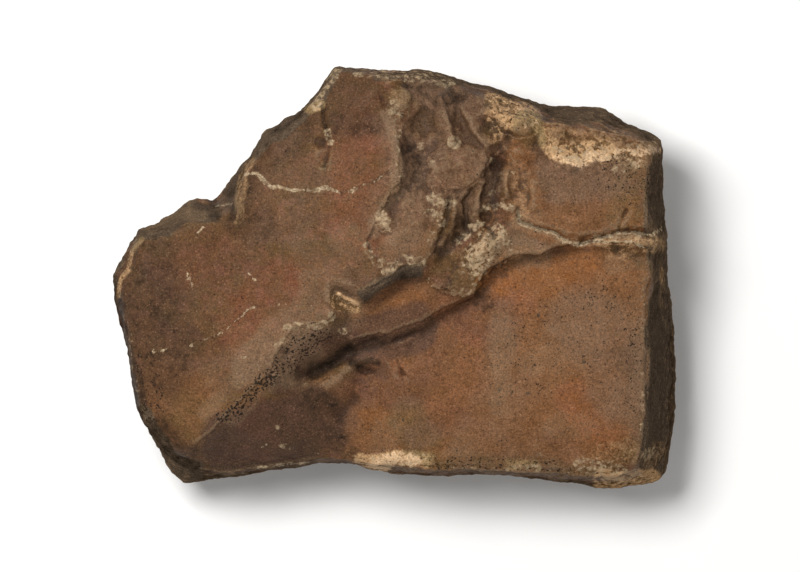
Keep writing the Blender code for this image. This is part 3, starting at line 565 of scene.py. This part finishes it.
FINISHES["fawn"] = [  # greyish brown, where the varnish is thin
    (0.8, 9, 6, [(12, 54), (14, 50), (19, 40), (21, 32)]),
    (0.5, 4, 5, [(-1, 46), (1, 34), (-4, 22)]), (0.8, 5, 4, [(3, 14), (6, 22), (8, 32)]),
    (0.8, 6, 5, [(52, 32), (66, 32)]), (0.75, 8, 9, [(60, -12), (72, -22), (74, -36)]),
    (0.5, 4, 5, [(3, -42), (8, -50)]), (0.5, 3, 5, [(34, -12), (34, -42)]),
    (0.5, 6, 8, [(36, -36), (24, -56), (50, -58)]), (0.4, 8, 10, [(-36, 20), (-30, 36)]),
    (0.5, 4, 5, [(-56, -30), (-44, -24)]), (0.9, 2.4, 1.6, [(-18, -4.5), (-14, -6.8)]),
]
FINISHES["dark_skin_and_shade"] = [  # near-black skin of the facets that fall away to the outline, and painted shade under the gully's lip, in the pocket below the ridge and on the right wall
    (0.9, 2.6, 2, [(-81, 16), (-74, 17.2), (-66, 21.5), (-60, 21)]),
    (0.9, 2.4, 2, [(-53, 30), (-49.5, 36), (-43, 45), (-34, 51), (-25, 59), (-20, 66)]),
    (1, 3, 2, [(-82, -46), (-77, -54), (-73, -60), (-66, -62.5)]),
    (0.5, 1.2, 1.6, [(-66, -62.5), (-52, -62.5), (-38, -60.5), (-28, -59)]),
    (0.9, 1.3, 1, [(-84, 15), (-87.8, 7.5), (-91, 1), (-90, -8)]),
    # the right wall's dark skin, darkened further as painted shade
    (0.9, 3.8, 1, [(85.6, 38), (84.6, 24), (84.8, 8), (84.6, -15), (84.6, -38), (82.4, -60)]),
    (0.9, 1.6, 2.8, [(42, 59.5), (47, 56.5), (54, 54), (66, 53), (76, 50), (84, 46.5)]),
    *[(1, 0.25, 0.5, [dot]) for dot in DARK_DOTS],
    (0.8, 1.6, 1.6, [(8, 67), (20, 64), (30, 61.5), (42, 57)]),
    # painted shade in the pocket below the ridge, and painted shadow under the gully's lip
    (0.4, 1, 2.6, [(-25, -30.8), (-22, -29.2), (-18, -26)]),
    (0.8, 1.1, 1.4, [(-10.5, -5), (-6, -2), (0.5, 0.2), (7, 1.4)]),
    (0.35, 1.4, 1.6, [(31.5, 39), (33, 35), (31.5, 29)]),
    (0.7, 1.2, 1.6, [(-6, 66.5), (2, 66.5), (8, 66.5)]),
]
FINISHES["dust"] = [  # grey dust and worn grains
    (0.35, 2, 4, [(-56, -42), (-48, -34)]),
    (0.7, 2, 4, [(-46, -31), (-40, -24), (-34, -14), (-24, -11)]),
    (0.5, 3, 4, [(-26, -8), (-20, -1)]),
    (0.6, 2.5, 2, [(-53, -45), (-44, -37), (-36, -28), (-30, -21), (-25, -16)]),
    (0.6, 2, 4, [(34, -14), (34, -42)]), (0.6, 3, 5, [(44, -27), (50, -24)]),
    (0.2, 3, 5, [(74, 0), (75, -24), (74, -48)]), (0.5, 2, 2, [(-57, 23), (-51, 23.5)]),
    (0.9, 1.1, 2.2, [(-7, 16), (-3, 25), (0, 31), (0, 44), (-2, 52)]),
    (0.4, 6, 8, [(50, -24), (66, -14)]),
    (0.5, 2, 2.5, [(77, -50), (77.5, -30), (78, -10), (79, 4)]),
    (0.4, 4, 6, [(-30, 8), (-20, 4), (-12, 2)]), (0.3, 5, 8, [(-20, 62), (-14, 60)]),
    (0.5, 3, 4, [(74, 28), (78, 38)]), (0.7, 1.4, 1.6, [(-79, 16), (-70, 19), (-62, 20)]),
    (0.3, 3, 5, [(-1, 44), (1, 36), (3, 29)]), (0.6, 3, 5, [(-18, 12), (-13, 14)]),
    (0.6, 3, 5, [(-27, -9), (-21, -12), (-14, -12)]),
    (0.7, 2.5, 4, [(-37, -24), (-31, -19), (-28, -26)]), (0.6, 4, 5, [(0, 9), (8, 10)]),
    (0.5, 3, 4, [(31, 3), (40, 6)]), (0.6, 2, 3, [(70, 6), (76, 5)]),
    (0.4, 3, 4, [(54, 55), (66, 52), (76, 49)]), (0.4, 3, 4, [(70, 18), (76, 22)]),
    (0.9, 2.5, 3, [(-34, -20), (-29, -17)]), (0.6, 2, 2, [(84, 14), (85.5, 6), (86, -6)]),
    (0.8, 3, 4, [(-50, -30), (-43, -22), (-36, -17)]), (0.7, 2.5, 3, [(-35, -32)]),
    (0.7, 1.5, 3.5, [(-61, -43), (-57, -38)]), (0.6, 3, 4, [(38, 34), (42, 20), (38, 9), (30, 9)]),
    (0.5, 3, 4, [(52, -47), (60, -47)]), (0.5, 3, 4, [(-3.5, -47), (-4, -54)]),
    (0.5, 3, 4, [(20, -55)]), (0.6, 3, 3, [(-27, -2), (-26, -8)]), (0.9, 3, 4, [(30, 9), (44, 9)]),
]
FINISHES["tan"] = [  # fresh tan stone where the skin is chipped away
    (0.9, 2.4, 2.4, [(31, 54.5), (36, 53.5), (41.5, 51.5)]),
    (0.85, 1.8, 2.4, [(44, 50.5), (48, 46.5), (52, 43)]), (0.9, 2, 2, [(36, 50), (33, 51)]),
    (1, 2.2, 2.6, [(53.5, 41.6), (60, 41), (66, 41)]),
    (0.5, 1.2, 2.6, [(66, 41), (74, 41.5), (82, 43)]),
    (0.45, 1.8, 3.4, [(50, 48.5), (60, 46), (72, 45)]),
    (0.4, 1.5, 3, [(66, 38), (74, 37.5), (79, 38.5)]), (0.35, 1.5, 2, [(40.5, 33), (41, 22)]),
    (0.7, 0.5, 1, [(-81.5, 12.5), (-83.8, 7), (-86.6, 0), (-88.2, -5)]),
    (0.6, 1.3, 1.4, [(64, 13.5), (72, 13), (82, 12.5)]),
    (0.8, 1.3, 1.2, [(-24, 56.5), (-27, 55.5)]),
    (0.9, 1.8, 1.2, [(-18.4, -6.8), (-16, -8.2), (-13.6, -9)]),
    (0.1, 1, 3, [(-22, -33), (-17.5, -31), (-14.5, -28)]), (0.5, 3, 3, [(26, 6), (31, 12)]),
    (0.7, 1.2, 1.2, [(85.5, 0), (86.5, -8)]),
    (0.9, 2.8, 1.5, [(66, -64.5), (76, -65), (83, -63.5)]), (0.4, 2, 2, [(82, -58), (85, -54)]),
    (0.5, 1.2, 1.2, [(-50.3, 18), (-50.5, 25), (-48.5, 31), (-46.5, 37)]),
    (0.3, 1.5, 1.5, [(37, 33), (38.5, 25)]),
    (1, 1.6, 2.2, [(-10, -59.4), (-6, -58.6), (0, -58.2), (5, -58.8), (10, -59.8)]),
    (0.6, 1.2, 1.6, [(36, -61.5), (41, -61.5), (46, -62)]), (0.4, 2, 2, [(68, 10), (82, 9)]),
    (0.5, 1.5, 1.5, [(84, 12), (87, 9)]), (0.6, 1.5, 2, [(28.5, 51), (30, 47)]),
    (0.4, 2.5, 2.5, [(66, -56), (76, -56)]), (0.45, 1.8, 1.6, [(0.2, 58.2), (1.6, 57)]),
]
FINISHES["cream_and_highlight"] = [  # the palest chips and the lime-stained stone round them, and a painted highlight along the notch's crest
    (1, 1, 1.8, [(53, 40), (56.5, 38.4), (60, 39), (64, 38.2)]),
    (0.9, 0.7, 1.2, [(68, 40), (76, 41.2), (84, 42.5)]), (0.35, 1.6, 2.6, [(71, 35), (75, 36.5)]),
    (0.4, 2, 2.6, [(31, 54.5), (38, 52.5), (43, 49.5)]),
    (0.6, 0.6, 3.6, [(-9, -59.2), (-3, -59), (3, -58.8), (9, -59.8)]),
    (0.5, 0.5, 1, [(64, 14), (70, 13.6), (76, 13.2), (83, 13)]),
    (0.7, 2.2, 2.5, [(25, 4), (28, 9), (32, 13)]), (0.5, 1.4, 1.6, [(13.5, 22), (15.5, 25)]),
    (0.2, 1.2, 1.4, [(11.5, -1.5), (16, -3), (20, -4.6), (24, -4)]),
    (0.5, 1.4, 1.4, [(-4.5, 19), (-3, 17)]),
    # painted highlight along the notch's lit crest
    (0.6, 0.3, 0.7, [(-18.8, -4.6), (-16, -6.5), (-12.5, -8)]),
    (0.4, 1.2, 1.4, [(62, -58), (66, -61), (74, -63)]), (0.5, 1.2, 1.4, [(72, -64), (82, -64)]),
    (0.5, 0.8, 1, [(-24, 56.5), (-27, 55.5)]), (1, 1.6, 2, [(-6, -59.4), (0, -58.8), (6, -59.8)]),
    (0.5, 1.4, 2.6, [(70, 38), (76, 38)]), (0.5, 1.5, 1.5, [(64, 40), (72, 40.5)]),
]
FINISHES["pepper"] = [  # black pepper: dark grains standing in a paler, dusty ground
    (1, 1.6, 2.5, [(-55, -45), (-45.4, -37), (-37, -28.5)]),
    (0.85, 2.4, 3.5, [(-35.5, -27.5), (-29.5, -21), (-25.5, -18)]),
    (0.3, 12, 12, [(50, -22), (66, -16)]), (0.4, 4, 3, [(77, -40), (78, -10)]),
    (0.5, 4, 4, [(-80, -30), (-80, -42)]), (0.6, 4, 3, [(28, 8), (33, 10)]),
    (0.5, 4, 4, [(34, 54), (42, 52)]), (0.5, 5, 5, [(70, 34), (78, 30)]),
    (0.55, 1.5, 2, [(12, -60.5), (24, -61.5), (36, -62), (50, -62), (64, -64)]),
]
VEINS = [  # (half-width in mm, line), below 0 where only traces show
    (0.4, VEIN_LONG[:9]), (0.3, VEIN_LONG[8:12]), (0.1, VEIN_LONG[11:]),
    (0.5, [(x, y - 0.4) for x, y in MAIN_CRACK]), (0.3, CRACK_BRANCH),
    (0.15, [(-61, -20), (-59, -19), (-56, -17.5)]), (0.25, [(-51, -14), (-48, -10.8), (-45, -9)]),
    (-0.05, [(-56, -17.5), (-51, -14)]), (-0.15, [(-40, -8.3), (-32, -8.8), (-25, -9)]),
    (0.42, [(-64, 13), (-62, 16)]), (0.4, [(-49, 10.5), (-48, 9.5)]),
    (0.35, [(-67, 2), (-65, -2.5)]), (0.4, [(-46.5, 1), (-45.5, -0.5)]),
    (0.35, [(-78, -23.5), (-72, -22.5)]), (0.35, [(-66, -21.5), (-65.5, -21.3)]),
    (0.3, [(-49, -25.5), (-48.5, -25.2)]), (0.1, [(-58.5, -13), (-58.5, -17)]),
    (0.25, [(-58, 23), (-52, 24)]), (0.25, [(-45, -61), (-36, -60), (-28, -59.3)]),
    (0.2, [(-43, -54), (-41, -53)]),
]
print("finishes:", ", ".join(FINISHES), "and", len(VEINS), "veins")

# %% Store the finishes on the mesh
DRIFT = ((15.0, 3.0), (6.0, 1.4))  # mm: bends that make the painted patches wander
OVER_THE_RIM = ("tan", "cream_and_highlight", "dust")  # chips and dust that reach a little down the sides
ALL_ROUND = ("dark_skin_and_shade", "deep_varnish_and_shade")  # dark varnish, and the painted shade drawn among it, that runs on down the flanks and underneath
PAINT_UP, PAINT_LEVELS = (0.0, 0.25), (36, 46)  # as FACES_UP and UPPER_LEVELS, for the finishes
RIM_UP, RIM_LEVELS = (0.0, 0.3), (18, 34)  # the same, for what reaches over the rim
NEAR_RIM, FAR_RIM_RISE = -62.0, 0.3  # mm and mm per mm: the rim rises toward the far side
VEIN_REACH = 3.0  # mm, beyond which a point counts as far from any vein
FULL_CRUST = 0.5  # mm of crust that hides the stone


def store(name, values):
    attribute = stone_mesh.attributes.new(name, "FLOAT", "POINT")
    attribute.data.foreach_set("value", values.astype(np.float32))


places, normals = skin_points(stone_mesh)
plan, wandering = bent_plan(places), bent_plan(places, DRIFT)
upper = ramp(normals[:, 2], *PAINT_UP) * ramp(places[:, 2], *PAINT_LEVELS)
below = places[:, 2] - FAR_RIM_RISE * (plan[:, 1] - NEAR_RIM)
over_rim = ramp(normals[:, 2], *RIM_UP) * ramp(below, *RIM_LEVELS)
for finish, strokes in FINISHES.items():
    mask = 1 if finish in ALL_ROUND else upper
    if finish in OVER_THE_RIM:
        mask = np.maximum(upper, over_rim)
    store(finish, painted(wandering, strokes) * mask)
from_vein = np.full(len(places), VEIN_REACH)
for half, line in VEINS:
    near, gap, _ = beside(plan, line, VEIN_REACH)
    from_vein[near] = np.minimum(from_vein[near], abs(gap) - half)
cover, grains = crust_height(places, plan)
more = {
    "vein": np.where(upper > 0.5, from_vein, VEIN_REACH),
    "crust": np.clip(cover / FULL_CRUST, 0, 1) * upper,
    "grains": grains * upper,
    "flank": 1 - upper,
}
for name, values in more.items():
    store(name, values)
print("stored", len(FINISHES) + len(more), "numbers at", len(places), "points")

# %% [markdown]
# ## Worn edges, and hollows with dark varnish and painted shade
#
# High edges are rubbed pale by sand, and hollows keep their dark varnish and are darkened
# further by painted shade. How much a point stands out is found by comparing the surface with
# a smoothed copy of itself: in front of the copy it is an edge, behind it a hollow. Cycles has
# a Pointiness output for this, but it depends on the triangles' size and gets lost in an
# export, so it is stored as well.


# %% Measure how far each point stands out
def smoothed(values, ends, count, passes):
    """The values after repeated averaging with their neighbours along the edges."""
    for _ in range(passes):
        total = values.copy()
        for column in range(values.shape[1]):
            total[:, column] += np.bincount(ends[:, 0], values[ends[:, 1], column], len(values))
            total[:, column] += np.bincount(ends[:, 1], values[ends[:, 0], column], len(values))
        values = total / (1 + count[:, None])
    return values


STANDING_OUT = {"fine_edge": (4, 0.12), "broad_edge": (40, 0.9)}  # (passes, mm for full effect)
ends = np.empty(len(stone_mesh.edges) * 2, np.int32)
stone_mesh.edges.foreach_get("vertices", ends)
ends = ends.reshape(-1, 2)
neighbours = np.bincount(ends.ravel(), minlength=len(places)).astype(float)
for name, (passes, full) in STANDING_OUT.items():
    behind = places - smoothed(places, ends, neighbours, passes)
    store(name, np.clip((behind * normals).sum(1) / full, -1, 1))
print("edges measured at", len(places), "points")

# %% [markdown]
# ## The material: desert-varnished chondrite
#
# The stone's common name is ordinary chondrite, and its surface was made by wind, rust and
# lime. It is matt, with a faint waxy sheen on the varnished faces, so the roughness runs
# from 0.6 to 0.8, and the IOR is 1.5, as for most rock-forming minerals. There is no metal
# to see. Colour goes on in layers, as it did on the stone: varnish, rust, dust, chips and
# lime. The numbers after a pattern are the levels between which its layer fades in, and the
# last one says how much of the layer shows at most.

# %% Helpers for colours and nodes
FAINT = 0.15  # below this strength a painted mask fades out

varnish = bpy.data.materials.new("desert_varnished_chondrite")
varnish.use_nodes = True
tree = varnish.node_tree
shader = tree.nodes["Principled BSDF"]


def linear(hex_colour):
    """An sRGB hex colour as linear RGBA."""
    parts = [int(hex_colour[i:i + 2], 16) / 255 for i in (1, 3, 5)]
    return (*[c / 12.92 if c <= 0.04045 else ((c + 0.055) / 1.055) ** 2.4 for c in parts], 1)


def fill(node, sockets):
    """Sets a node's inputs, each to an output, a hex colour or another value."""
    for name, value in sockets.items():
        if isinstance(value, bpy.types.NodeSocket):
            node.id_data.links.new(value, node.inputs[name])
        else:
            value = linear(value) if isinstance(value, str) else value
            node.inputs[name].default_value = value
    return node


def add(kind, sockets=None, **settings):
    """Adds a node to the stone's material, with its settings and its inputs."""
    node = tree.nodes.new("ShaderNode" + kind)
    for name, value in settings.items():
        setattr(node, name, value)
    return fill(node, sockets or {})


where = add("TexCoord").outputs["Object"]


def stored(name):
    return add("Attribute", attribute_name=name).outputs["Fac"]


def calc(operation, first, second, clamp=False):
    return add("Math", {0: first, 1: second}, operation=operation, use_clamp=clamp).outputs[0]


def mottle(size_mm, detail=3.0, rough=0.55, offset=0.0):
    """Noise from 0 to 1 with patches of about the given size."""
    spot = where
    if offset:
        spot = add("VectorMath", {0: where, 1: (offset, offset, offset)}).outputs[0]
    settings = {"Vector": spot, "Scale": 1 / (size_mm * MM), "Detail": detail, "Roughness": rough}
    return add("TexNoise", settings).outputs["Fac"]


def between(value, start, end, low=0.0, high=1.0):
    """Maps start..end smoothly to low..high."""
    sockets = {"Value": value, "From Min": start, "From Max": end, "To Min": low, "To Max": high}
    return add("MapRange", sockets, interpolation_type="SMOOTHSTEP").outputs["Result"]


def over(base, colour, amount, most=None):
    """The colour laid over the base by the amount, times most where that is given."""
    if most is not None:
        amount = calc("MULTIPLY", amount, most)
    return add("Mix", {0: amount, 6: base, 7: colour}, data_type="RGBA").outputs[2]


def shaded(base, factor):
    """The base made darker or lighter by a grey factor."""
    sockets = {0: 1.0, 6: base, 7: factor}
    return add("Mix", sockets, data_type="RGBA", blend_type="MULTIPLY").outputs[2]


def jittered(value, pattern, strength):
    """The value pushed up and down by a pattern."""
    return calc("ADD", value, calc("MULTIPLY", calc("SUBTRACT", pattern, 0.5), strength))


def weighted(first, *others):
    """The sum of some outputs, each given with its weight."""
    total = calc("MULTIPLY", *first)
    for other in others:
        total = calc("ADD", total, calc("MULTIPLY", *other))
    return total


def ragged(mask, pattern, strength, start, end):
    """A painted mask with its edge broken up by a pattern, and nothing where it is faint."""
    shifted = between(jittered(mask, pattern, strength), start, end)
    return calc("MULTIPLY", shifted, between(mask, 0.0, FAINT))


print("helpers ready")

# %% Patterns that several layers share
SPECK = 0.55  # mm: real grains are about 0.2 mm, drawn coarser so that they show
PIT_SPACING, PEPPER_SPACING = 2.6, 0.85  # mm between the pits, and between black grains
broad = mottle(16)
patchy = mottle(6, detail=4, offset=0.31)
cloudy = mottle(2.6, detail=3, offset=0.57)
gritty = mottle(SPECK, detail=2, rough=0.7)
fine = mottle(1.1, detail=3, rough=0.65, offset=0.83)
fibres = mottle(1.8, detail=5, rough=0.7, offset=1.27)
pit_gap, grain_gap = [
    add("TexVoronoi", {"Vector": where, "Scale": 1 / (spacing * MM)}).outputs["Distance"]
    for spacing in (PIT_SPACING, PEPPER_SPACING)
]
edge_fine, edge_broad = stored("fine_edge"), stored("broad_edge")
flank = stored("flank")
print("patterns ready")

# %% Lay the colours
VARNISH_BROWN, VARNISH_PALE, VARNISH_DEEP = "#5a3c23", "#66472e", "#442d1a"
OLIVE_BROWN, PINK_BROWN = "#553e22", "#714b38"
OCHRE_BROWN, OCHRE_LIGHT, OCHRE_DEEP = "#6d482a", "#7c5536", "#55371f"
RUST_RED, AMBER, OLIVE = "#7b4730", "#875227", "#624d2c"
MAUVE_AND_SHADE, DEEP_VARNISH_AND_SHADE_BROWN, FAWN = "#46332a", "#3d2b1c", "#6e543f"
SKIN_AND_SHADE_BLACK, FLANK_DARK = "#54473b", "#382c21"
FLANK_BROWN, FLANK_GREY, CRUST_AND_SHADE_BLACK = "#46372a", "#544535", "#1c130c"
DUST, CREAM_AND_HIGHLIGHT = "#816950", "#d2b08a"
TAN, TAN_DEEP, OLIVE_TAN = "#ad8962", "#6b4f30", "#7d6845"
LIME_GREY, LIME, LIME_BRIGHT_AND_HIGHLIGHT = "#6f604b", "#aa9070", "#dcc5a2"
BLACK_GRAIN, PALE_GRAIN = "#1c140d", "#957a5f"

# the varnish itself, in clouds of pale, dark, olive and pinkish brown
colour = over(VARNISH_BROWN, VARNISH_PALE, between(broad, 0.42, 0.66, 0, 0.8))
colour = over(colour, VARNISH_DEEP, between(patchy, 0.46, 0.7, 0, 0.8))
colour = over(colour, OLIVE_BROWN, between(mottle(9, offset=2.1), 0.46, 0.64, 0, 0.65))
colour = over(colour, PINK_BROWN, between(mottle(5, detail=4, offset=3.3), 0.5, 0.66, 0, 0.55))
ochre = over(OCHRE_BROWN, OCHRE_LIGHT, between(patchy, 0.4, 0.7))
ochre = over(ochre, OCHRE_DEEP, between(cloudy, 0.5, 0.78, 0, 0.7))
colour = over(colour, ochre, ragged(stored("ochre"), patchy, 0.6, 0.1, 0.9))
STAINS = [  # (finish, colour, pattern and strength that break its edge, start, end, most)
    ("rust", RUST_RED, patchy, 1.2, 0.1, 1.2, 0.7),
    ("amber", AMBER, cloudy, 1.0, 0.0, 1.2, 0.7),
    ("olive", OLIVE, cloudy, 1.0, 0.0, 1.2, 0.6),
    ("mauve_varnish_and_shade", MAUVE_AND_SHADE, patchy, 0.4, 0.0, 1.1, 0.7),
    ("deep_varnish_and_shade", DEEP_VARNISH_AND_SHADE_BROWN, patchy, 0.8, 0.0, 1.1, 0.6),
    ("fawn", FAWN, patchy, 1.1, 0.0, 1.15, 0.75),
]
for finish, stain, *edge, most in STAINS:
    colour = over(colour, stain, ragged(stored(finish), *edge), most)

# the rough flanks, and the near-black skin that covers some of the upper side too, with painted
# shade under the gully's lip, in the pocket and on the right wall
side = over(FLANK_DARK, FLANK_BROWN, between(patchy, 0.36, 0.6))
side = over(side, FLANK_GREY, between(calc("ADD", cloudy, edge_broad), 0.5, 0.95, 0, 0.8))
side = over(side, CRUST_AND_SHADE_BLACK, between(fibres, 0.52, 0.66, 0, 0.45))
dark_skin_and_shade_amount = ragged(stored("dark_skin_and_shade"), cloudy, 0.6, 0.1, 0.8)
side = over(side, SKIN_AND_SHADE_BLACK, dark_skin_and_shade_amount, 0.6)
colour = over(colour, side, calc("MAXIMUM", flank, dark_skin_and_shade_amount))
# near-black crust, and painted shade, where the thicker varnish strokes are strongest
colour = over(colour, CRUST_AND_SHADE_BLACK, ragged(stored("deep_varnish_and_shade"), cloudy, 0.9, 0.7, 1.15), 0.8)

# dust, edges that sand has rubbed pale, and fresh tan stone under the chips
colour = over(colour, DUST, ragged(stored("dust"), fine, 1.2, 0.1, 1.1), 0.5)
worn = between(jittered(edge_fine, fine, 1.6), 0.45, 1.2)
worn = calc("MULTIPLY", worn, between(stored("deep_varnish_and_shade"), 0.1, 0.7, 1.0, 0.15))
colour = over(colour, DUST, worn, 0.5)
chipped = weighted((fine, 0.4), (cloudy, 0.3), (gritty, 0.3), (edge_fine, -0.2))
tan_stone = over(TAN, TAN_DEEP, between(chipped, 0.42, 0.62))
greenish = between(calc("ADD", patchy, stored("olive")), 0.5, 0.9, 0, 0.75)
tan_stone = over(tan_stone, OLIVE_TAN, greenish)
colour = over(colour, tan_stone, ragged(stored("tan"), fibres, 1.3, 0.1, 1.1))
# pale chips, and a painted highlight along the notch's crest
colour = over(colour, CREAM_AND_HIGHLIGHT, ragged(stored("cream_and_highlight"), fibres, 3.0, 0.4, 1.1), 0.8)
print("colour layers laid")

# %% Lay the grains, the lime and the painted shade of the hollows
# black grains all over, crowded together where there is pepper, and pale ones between
peppered = calc("SUBTRACT", calc("MULTIPLY", stored("pepper"), 0.54), grain_gap)
peppered = between(jittered(jittered(peppered, fine, 1.8), cloudy, 0.6), 0.02, 0.12)
black = calc("MAXIMUM", between(gritty, 0.63, 0.73, 0, 0.7), calc("MULTIPLY", peppered, 0.9))
colour = over(colour, BLACK_GRAIN, black)
colour = over(colour, PALE_GRAIN, between(gritty, 0.38, 0.28), 0.3)

# lime on the raised grains of the crust and along the veins, with brighter specks that gather on
# the veins and, as a painted highlight, on the grain tops
crust, grain_tops = stored("crust"), stored("grains")
lime_score = jittered(weighted((crust, 0.55), (grain_tops, 0.7)), fibres, 2.4)
lime_patches = calc("MULTIPLY", between(lime_score, 0.4, 0.9), between(crust, 0.0, 0.2))
vein_gap = jittered(jittered(stored("vein"), fine, 2.4), cloudy, 2.2)
lime_veins = between(vein_gap, 0.2, -0.25, 0, 0.85)
lime_amount = calc("MAXIMUM", lime_veins, lime_patches)
lime = over(LIME_GREY, LIME, between(fine, 0.38, 0.6))
lit_lime = calc("ADD", gritty, calc("MULTIPLY", calc("MAXIMUM", grain_tops, lime_veins), 0.14))
lime = over(lime, LIME_BRIGHT_AND_HIGHLIGHT, between(lit_lime, 0.5, 0.75))
colour = over(colour, lime, lime_amount, 0.85)

# painted shade and dark varnish that darken the hollows, and a grain of lighter and darker specks
# over all of it
hollow_shade_and_varnish = between(calc("ADD", calc("MULTIPLY", edge_fine, 0.35), edge_broad), 0.15, -1.3, 1.05, 0.42)
hollow_shade_and_varnish = calc("MAXIMUM", hollow_shade_and_varnish, between(stored("fawn"), 0.0, 0.8, 0.0, 0.62))
colour = shaded(colour, hollow_shade_and_varnish)
colour = shaded(colour, between(gritty, 0.3, 0.7, 1.3, 0.72))
colour = shaded(colour, between(fine, 0.32, 0.68, 1.16, 0.86))
fill(shader, {"Base Color": colour})
print("grains, lime and dirt laid")

# %% Gloss and grain
roughness = between(cloudy, 0.35, 0.7, 0.62, 0.8)
rough_side = calc("MAXIMUM", flank, dark_skin_and_shade_amount)
rougher = calc("MULTIPLY", calc("MAXIMUM", lime_amount, rough_side), 0.25)
roughness = calc("ADD", roughness, rougher, clamp=True)
waxy = between(rough_side, 0.0, 1.0, 0.14, 0.0)
fill(shader, {"Roughness": roughness, "IOR": 1.5, "Metallic": 0.0, "Specular IOR Level": waxy})

GRAIN_HEIGHT = 0.12  # mm of grain and pits, seen only in how the light falls
pits = between(pit_gap, 0.16, 0.3)
relief = weighted((gritty, 0.55), (fine, 0.9), (pits, 0.35))
relief = calc("MULTIPLY", relief, between(flank, 0.0, 1.0, 1.0, 2.4))
bump = add("Bump", {"Height": relief, "Distance": GRAIN_HEIGHT * MM})
fill(shader, {"Normal": bump.outputs["Normal"]})
stone_mesh.materials.clear()
stone_mesh.materials.append(varnish)
print("material:", varnish.name, "with", len(tree.nodes), "nodes")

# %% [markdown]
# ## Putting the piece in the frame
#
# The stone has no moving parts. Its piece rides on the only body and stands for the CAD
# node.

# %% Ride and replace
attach(stone, "root")
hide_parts("meteorite")
print(stone.name, "stands for", stone_solid.name)

# %% [markdown]
# ## Floor, light and camera
#
# The stone is seen straight from above, as in a catalogue, on a white table. A large soft
# lamp at the upper left gives the rims their lit and dark sides and a soft shadow at the
# lower right, and an even pale sky fills the shadows. The long lens keeps the outline flat.

# %% Set the table
TABLE_GLOW = 0.05  # a light table's own light, which keeps the shadow soft and pale
TABLE_HALF = 1.5  # m from the middle of the table to its edges
corners = [(x * TABLE_HALF, y * TABLE_HALF, 0) for x, y in ((-1, -1), (1, -1), (1, 1), (-1, 1))]
floor_mesh = bpy.data.meshes.new("table top")
floor_mesh.from_pydata(corners, [], [(0, 1, 2, 3)])
floor = placed("table_top", floor_mesh)
paper = bpy.data.materials.new("matt_white_table")
paper.use_nodes = True
fill(paper.node_tree.nodes["Principled BSDF"], {
    "Base Color": "#f6f5f3",
    "Roughness": 0.9,
    "Emission Color": "#ffffff",
    "Emission Strength": TABLE_GLOW,
})
floor_mesh.materials.append(paper)
print("table top set")

# %% Hang the lamp and the sky
LAMP_WAY = Vector((-0.26, 0.21, 1.0)).normalized()  # from the stone to the lamp
LAMP_REACH, LAMP_SIZE, LAMP_WATTS = 1.1, 0.33, 11.6  # m, m and W
SKY = 0.3  # the sky's strength
lamp_data = bpy.data.lights.new("soft lamp", "AREA")
lamp_data.energy, lamp_data.size, lamp_data.shape = LAMP_WATTS, LAMP_SIZE, "SQUARE"
lamp = placed("soft_lamp", lamp_data)
lamp.location = LAMP_WAY * LAMP_REACH
lamp.rotation_euler = LAMP_WAY.to_track_quat("Z", "Y").to_euler()
sky = bpy.data.worlds.new("pale sky")
sky.use_nodes = True
fill(sky.node_tree.nodes["Background"], {"Color": "#ffffff", "Strength": SKY})
bpy.context.scene.world = sky
bpy.context.scene.view_settings.view_transform = "Standard"
print("lamp at", [round(c, 2) for c in lamp.location])

# %% Place the camera
VIEW_WIDTH = 256.0  # mm of table across the picture, at the height of the upper faces
VIEW_CENTRE = (1.73, -3.19)  # mm, from the model's origin
CAMERA_HEIGHT, FACES_AT = 2.4, 0.062  # m above the table, for the camera and the upper faces
SENSOR = 36.0  # mm
camera_data = bpy.data.cameras.new("long lens")
camera_data.sensor_width = SENSOR
camera_data.lens = SENSOR * (CAMERA_HEIGHT - FACES_AT) / (VIEW_WIDTH * MM)
camera = placed("overhead_camera", camera_data)
camera.location = (VIEW_CENTRE[0] * MM, VIEW_CENTRE[1] * MM, CAMERA_HEIGHT)
camera.rotation_euler = (0, 0, 0)
bpy.context.scene.camera = camera
print("lens", round(camera_data.lens), "mm")
